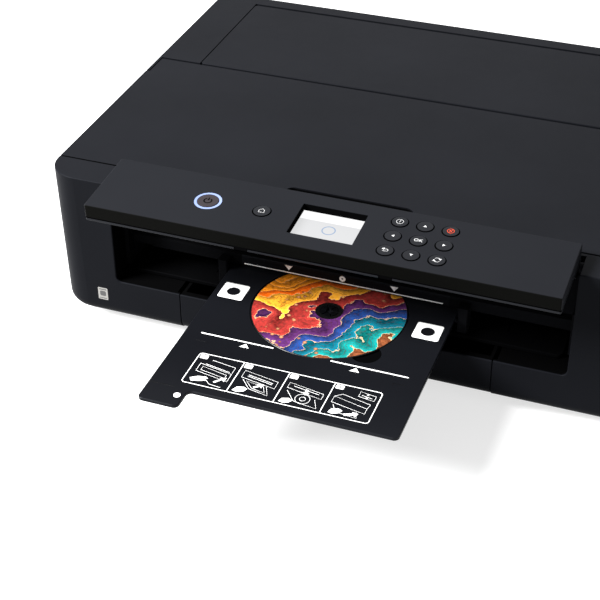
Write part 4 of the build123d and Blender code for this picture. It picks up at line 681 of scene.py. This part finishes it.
def trayPrint():
    # the white marks and the four numbered pictures on the tray
    marks = trayMarks
    loops = []
    for left, right in marks["lines"]:
        loops.append(boxLoop((left + right) / 2, marks["lineY"], right - left, marks["lineWidth"]))
    for x, y in marks["arrows"]:
        loops.append(triangle(x, y, *marks["arrowSize"]))
    for x in marks["squares"]:
        loops.append(roundedBox(x, marks["squareY"], *marks["squareSize"], marks["squareCorner"]))
        loops.append(circle(x, marks["squareY"], marks["holeRadius"], 40))
    inkShapes("tray_alignment_marks", loops, trayTop, "white")
    left, right, low, high = marks["frame"]
    middle = ((left + right) / 2, (low + high) / 2)
    strokes = [(True, roundedBox(*middle, right - left, high - low, marks["frameCorner"]))]
    for x in marks["dividers"]:
        strokes.append((False, [(x, low), (x, high)]))
    inkLines("tray_picture_frame", strokes, marks["frameLine"], trayTop, "white")
    thin, solid = [], []
    aside, below = marks["numberAt"]
    for number, edge in enumerate([left, *marks["dividers"]]):
        lines, shapes = stepPicture(number, edge, low)
        thin += lines
        solid += shapes
        at = (edge + aside, high - below)
        solid.append(roundedBox(*at, *marks["numberBox"], marks["numberCorner"]))
        label = str(number + 1)
        inkText("tray_step_number_" + label, label, marks["numberSize"], at, trayNumbers, "blackInk")
    inkLines("tray_pictures_lines", thin, marks["drawnLine"], trayTop, "white")
    inkShapes("tray_pictures_solid", solid, trayTop, "white")
    x, y = marks["dot"]
    rings = [circle(x, y, marks["dotRadius"], 28), circle(x, y, marks["dotHole"], 16)]
    inkShapes("tray_tab_mark", rings, trayTop, "white")


def stepPicture(number, x, y):
    # plain drawings of the four steps: open, slide the tray in, lay the disc, press on
    lines, solids = [], []

    def line(*points, closed=False):
        lines.append((closed, [(x + px, y + py) for px, py in points]))

    def shape(*points):
        solids.append([(x + px, y + py) for px, py in points])

    if number == 0:
        line((5, 24), (31, 19), (31, 27), (12, 30))
        line((5, 24), (5, 15), (31, 10), (31, 19))
        line((8, 21), (28, 17), (28, 13), (8, 17), closed=True)
        line((9, 24.5), (29, 20.7))
        line((14, 9), (20, 3.5), (29, 2.5))
        shape((23, 6), (27, 11), (29, 9.4), (29.5, 14), (25, 12.6), (26, 11.8), (21.6, 7))
        shape((4, 6), (9, 9.5), (15, 10.5), (17, 9), (13, 7.6), (17, 6.6), (12, 4.5), (6, 3))
    elif number == 1:
        line((4, 27), (31, 22), (31, 14), (4, 19), closed=True)
        line((6, 17), (14, 8), (29, 5), (25, 14.4))
        line((9, 16), (15.4, 9.4), (26, 7.2), (23, 13.6), closed=True)
        line((8, 23), (28, 19.3))
        line((8, 21.4), (28, 17.7))
        shape((17, 10), (20.5, 13), (22, 11.6), (22.6, 16), (18, 15.2), (19.3, 14.1), (15.8, 11))
        shape((3, 3), (5, 7.4), (10, 9), (13, 7.4), (11.4, 4), (7, 2))
    elif number == 2:
        line((4, 25), (31, 20), (31, 14), (4, 19), closed=True)
        line((5, 16), (13, 6), (31, 3), (27, 12))
        line(*circle(18.5, 10.2, 5.4, 20), closed=True)
        line(*circle(18.5, 10.2, 2.2, 12), closed=True)
        line((8, 22), (28, 18.4))
        shape((17.4, 21), (17.4, 17.4), (16, 17.4), (18.5, 14.6), (21, 17.4), (19.6, 17.4), (19.6, 21))
        shape((3, 2.6), (4.4, 6.4), (9, 8), (12.4, 6.4), (10.6, 3.4), (6.4, 1.8))
    else:
        line((4, 21), (30, 15), (30, 9), (4, 14.4), closed=True)
        line((4, 21), (9, 25), (31, 20), (30, 15))
        line((6, 12), (10, 5), (26, 2.6), (24, 9))
        line((20, 26.4), (32, 24.4), (32, 30), (20, 32), closed=True)
        line((22, 28.3), (30, 26.9))
        shape((25, 29.8), (27, 29.4), (26, 31))
        shape((25, 27), (27, 26.6), (26, 25.4))
        shape((16, 4.6), (22, 7), (21.4, 8.4), (26, 7.8), (24.4, 3.6), (23.4, 5.2), (17, 2.8))
        shape((5, 3), (6.4, 7.4), (11, 9), (14.4, 7.4), (12.6, 4), (8.4, 2))
    return lines, solids


trayPrint()
print("tray print done")


guideFront = {
    "place": Matrix.Translation((0, 29.46 * mm + frontY, 0)) @ Matrix.Rotation(math.radians(90), 4, "X"),
    "body": "case", "slot": "black_plastic",
}
guideMarks = {
    "line": (-83.2, 80.0, 67.5, 0.9), "arrows": (-45.5, 41.0), "arrowMiddle": 71.8, "arrowSize": (6.6, 4.2),
    "icon": (-1.0, 71.6), "iconRadius": 2.5, "iconHole": 0.8,
}


def guidePrint():
    # the marks on the disc guide's bar, which the tray's marks line up with
    left, right, z, width = guideMarks["line"]
    loops = [boxLoop((left + right) / 2, z, right - left, width)]
    for x in guideMarks["arrows"]:
        loops.append(triangle(x, guideMarks["arrowMiddle"], *guideMarks["arrowSize"], 180))
    inkShapes("guide_bar_marks", loops, guideFront, "white")
    x, z = guideMarks["icon"]
    rings = [circle(x, z, guideMarks["iconRadius"], 28), circle(x, z, guideMarks["iconHole"], 16)]
    inkShapes("guide_bar_disc_mark", rings, guideFront, "white")


guidePrint()
print("guide bar print done")


keyPlaces = {
    "help": (50, 51.2), "up": (69, 51.2), "stop": (88, 51.2), "left": (50, 33.2), "ok": (69, 33.2),
    "right": (88, 33.2), "back": (50, 15.2), "down": (69, 15.2), "cycle": (88, 15.2),
    "home": (-50.5, 33.2), "power": (-93.5, 33.2),
}
legendLook = {
    "proud": 0.54, "line": 0.4, "ringLine": 0.32, "arrow": (2.6, 2.1), "queryRing": 2.6, "querySize": 3.9,
    "okSize": 4.5, "stopRing": 2.5, "stopLine": 0.42, "crossLine": 0.45, "crossReach": 1.1,
    "turnRadius": 2.3, "powerRadius": 2.9, "powerLine": 1.1,
}


def onKey(name):
    return {"place": panelPlace(legendLook["proud"]), "body": name + "_button", "slot": "key_plastic"}


def keyLegends():
    # the signs on the panel's keys
    look, line = legendLook, legendLook["line"]
    for name, turn in (("up", 0), ("down", 180), ("left", 90), ("right", -90)):
        x, y = keyPlaces[name]
        inkShapes(name + "_legend", [triangle(x, y, *look["arrow"], turn)], onKey(name), "legendInk")
    x, y = keyPlaces["help"]
    ring = [(True, circle(x, y, look["queryRing"], 28))]
    inkLines("help_legend_ring", ring, look["ringLine"], onKey("help"), "legendInk")
    inkText("help_legend_mark", "?", look["querySize"], (x, y), onKey("help"), "legendInk")
    x, y = keyPlaces["ok"]
    inkText("ok_legend", "OK", look["okSize"], (x, y), onKey("ok"), "legendInk")
    x, y = keyPlaces["stop"]
    ring = [(True, circle(x, y, look["stopRing"], 28))]
    inkLines("stop_legend_ring", ring, look["stopLine"], onKey("stop"), "redInk")
    reach = look["crossReach"]
    cross = [
        (False, [(x - reach, y - reach), (x + reach, y + reach)]),
        (False, [(x - reach, y + reach), (x + reach, y - reach)]),
    ]
    inkLines("stop_legend_cross", cross, look["crossLine"], onKey("stop"), "redInk")
    x, y = keyPlaces["back"]
    hook = [(x - 1.6, y + 1.2)] + circle(x + 0.9, y + 0.0, 1.2, 10, 90, -180) + [(x - 1.9, y - 1.2)]
    inkLines("back_legend_hook", [(False, hook)], line, onKey("back"), "legendInk")
    inkShapes("back_legend_head", [triangle(x - 1.9, y + 1.2, 2.4, 1.9, 90)], onKey("back"), "legendInk")
    x, y = keyPlaces["cycle"]
    radius = look["turnRadius"]
    turns, heads = [], []
    for start in (20, 200):
        turns.append((False, circle(x, y, radius, 14, start, 130)))
        a = math.radians(start)
        heads.append(triangle(x + radius * math.cos(a), y + radius * math.sin(a), 2.2, 1.8, start + 180))
    inkLines("cycle_legend_turns", turns, line, onKey("cycle"), "legendInk")
    inkShapes("cycle_legend_heads", heads, onKey("cycle"), "legendInk")
    x, y = keyPlaces["home"]
    house = [(x - 2.1, y - 2.1), (x + 2.1, y - 2.1), (x + 2.1, y + 0.4), (x, y + 2.5), (x - 2.1, y + 0.4)]
    inkLines("home_legend", [(True, house)], line, onKey("home"), "legendInk")
    x, y = keyPlaces["power"]
    arc = circle(x, y - 0.3, look["powerRadius"], 24, 125, 290)
    stroke = [(x, y + 0.2), (x, y + 3.5)]
    inkLines("power_legend", [(False, arc), (False, stroke)], look["powerLine"], onKey("power"), "blackInk")


keyLegends()
print("key legends done")


screwLook = {
    "sides": 28, "radius": 2.9, "height": 1.0, "seat": 4.2, "smooth": 40,
    "crown": ((0.28, 0.35), (0.3, 0.1), (0.06, -0.55)),  # insets, in radii, and rises, in heights
    "places": [(-150, 30), (150, 30), (-205, 120), (205, 120), (-205, 240), (205, 240), (-150, 340), (150, 340)],
}


def screwHead(name, at, outward):
    # a domed head with a round driver recess, its crown pointing outward
    radius, height = screwLook["radius"] * mm, screwLook["height"] * mm
    deselectAll()
    middle = (0, 0, height / 2)
    bpy.ops.mesh.primitive_cylinder_add(vertices=screwLook["sides"], radius=radius, depth=height, location=middle)
    piece = bpy.context.view_layer.objects.active
    piece.name = name
    bpy.ops.object.transform_apply(location=True, rotation=True, scale=True)
    bpy.ops.object.mode_set(mode="EDIT")
    mesh = bmesh.from_edit_mesh(piece.data)
    for face in mesh.faces:
        face.select_set(face.normal.z > 0.9)
    bmesh.update_edit_mesh(piece.data)
    for inset, rise in screwLook["crown"]:
        bpy.ops.mesh.inset(thickness=radius * inset)
        bpy.ops.transform.translate(value=(0, 0, height * rise))
    bpy.ops.object.mode_set(mode="OBJECT")
    bpy.ops.object.shade_smooth_by_angle(angle=math.radians(screwLook["smooth"]))
    turned = Vector((0, 0, 1)).rotation_difference(Vector(outward)).to_matrix().to_4x4()
    settle(piece, flatPlace(*at) @ turned, "case", "steel")


def panScrews():
    # the pan's screws, heads down
    for number, (x, y) in enumerate(screwLook["places"]):
        screwHead("pan_screw_" + str(number + 1), (x, y, screwLook["seat"]), (0, 0, -1))


panScrews()
print("fasteners done")


frontFace = {
    "place": Matrix.Translation((0, -0.02 * mm + frontY, 0)) @ Matrix.Rotation(math.radians(90), 4, "X"),
    "body": "case", "slot": "case_plastic",
}
labelLook = {
    "at": (-196.5, 31.0), "size": (8.6, 11.4), "corner": 0.8, "margin": 2.2,
    "topBar": (1.6, 0.9), "lowBar": (1.4, 0.7),  # distance from the label's edge, height
    "patch": {"up": 0.2, "narrower": 3.4, "lower": 6.6, "corner": 1.2},
}


def frontLabel():
    # a small plain label by the front's lower left corner
    x, z = labelLook["at"]
    width, height = labelLook["size"]
    inkShapes("front_label", [roundedBox(x, z, width, height, labelLook["corner"])], frontFace, "label")
    long, patch = width - labelLook["margin"], labelLook["patch"]
    (topInset, topHeight), (lowInset, lowHeight) = labelLook["topBar"], labelLook["lowBar"]
    bars = [
        boxLoop(x, z + height / 2 - topInset, long, topHeight),
        boxLoop(x, z - height / 2 + lowInset, long, lowHeight),
        roundedBox(x, z + patch["up"], width - patch["narrower"], height - patch["lower"], patch["corner"]),
    ]
    upper = {**frontFace, "place": Matrix.Translation((0, -0.05 * mm, 0)) @ frontFace["place"]}
    inkShapes("front_label_bars", bars, upper, "labelInk")


frontLabel()

grooveShadeLines = {"y": -128.9, "x": (-92.2, -73.0), "cornerAt": (76.5, -72.6), "cornerSize": (9.0, 1.6), "width": 0.5}


def paintTrayGrooveShade():
    # painted shade: thin dark lines drawn where fine grooves are moulded in the tray's top
    left, right = grooveShadeLines["x"]
    x, y = grooveShadeLines["cornerAt"]
    size, drop = grooveShadeLines["cornerSize"]
    strokes = [(False, [(left, grooveShadeLines["y"]), (right, grooveShadeLines["y"])])]
    for side in (-1, 1):
        corner = [(side * (x - size / 2), y - drop), (side * (x - size / 2), y), (side * (x + size / 2), y)]
        strokes.append((False, corner))
    inkLines("tray_groove_shade_lines", strokes, grooveShadeLines["width"], trayGrooves, "grooveShadeInk")


paintTrayGrooveShade()
print("label and tray lines done")


studio = {
    "floor": (0.45, 0.45, 0.45), "floorSize": 12, "shine": 0.68,  # shine is the white that the camera sees
    "key": {"at": (-1.75, -1.2, 1.7), "size": 1.2, "power": 330.0},
    "fill": {"at": (1.5, -0.9, 1.3), "size": 1.6, "power": 3.0},
    "rim": {"at": (-0.5, 1.7, 1.6), "size": 1.6, "power": 3.0},
    "world": 0.45, "target": (0, 0, 0.08),
}
cameraLook = {  # degrees turned to the left, tipped down and rolled
    "at": (0.29356, -0.96758, 0.71032), "aside": 20.40, "down": 35.19, "roll": -0.36, "lens": 87.41, "sensor": 36,
}
black, white = (0.0, 0.0, 0.0), (1.0, 1.0, 1.0)


def seenShare(paint):
    # 1 on what the camera sees, straight or in a gloss or through a glass
    path = paint.node("ShaderNodeLightPath", {}, {}, "Is Camera Ray")
    outputs = path.socket.node.outputs
    return path + Signal(paint, outputs["Is Glossy Ray"]) + Signal(paint, outputs["Is Transmission Ray"])


def makeFloor():
    deselectAll()
    bpy.ops.mesh.primitive_plane_add(size=studio["floorSize"], location=(0, 0, 0))
    floor = bpy.context.view_layer.objects.active
    floor.name = "floor"
    paint = Paint("floor paper")
    colour = paint.mixed(paint.noise(3.0, 2.0), scaled(studio["floor"], 0.99), studio["floor"])
    floor.data.materials.append(paint.finish({
        "Base Color": colour, "Roughness": 0.9, "Specular IOR Level": 0.0,
        "Emission Color": paint.mixed(seenShare(paint), black, white), "Emission Strength": studio["shine"],
    }))


def makeLight(name, look):
    light = bpy.data.lights.new(name, "AREA")
    light.shape = "DISK"
    light.size = look["size"]
    light.energy = look["power"]
    lamp = bpy.data.objects.new(name, light)
    bpy.context.scene.collection.objects.link(lamp)
    lamp.location = look["at"]
    aim = Vector(studio["target"]) - Vector(look["at"])
    lamp.rotation_euler = aim.to_track_quat("-Z", "Y").to_euler()


def makeWorld():
    # an even light, which the camera sees as white
    paint = Paint("studio", bpy.data.worlds)
    colour = paint.mixed(seenShare(paint), scaled(white, studio["world"]), white)
    background = paint.node("ShaderNodeBackground", {}, {"Color": colour, "Strength": 1.0})
    paint.node("ShaderNodeOutputWorld", {}, {"Surface": background})
    bpy.context.scene.world = paint.result


def makeCamera():
    aside, down, roll = (math.radians(cameraLook[name]) for name in ("aside", "down", "roll"))
    forward = Vector((-math.sin(aside) * math.cos(down), math.cos(aside) * math.cos(down), -math.sin(down)))
    level = Vector((math.cos(aside), math.sin(aside), 0))
    above = level.cross(forward)
    right = level * math.cos(roll) + above * math.sin(roll)
    up = above * math.cos(roll) - level * math.sin(roll)
    data = bpy.data.cameras.new("camera")
    data.lens = cameraLook["lens"]
    data.sensor_width = cameraLook["sensor"]
    camera = bpy.data.objects.new("camera", data)
    bpy.context.scene.collection.objects.link(camera)
    turned = Matrix((right, up, -forward)).transposed().to_4x4()
    camera.matrix_world = Matrix.Translation(cameraLook["at"]) @ turned
    bpy.context.scene.camera = camera


makeFloor()
for name in ("key", "fill", "rim"):
    makeLight(name + " light", studio[name])
makeWorld()
makeCamera()
bpy.context.scene.view_settings.view_transform = "Standard"
print("floor, light and camera done")
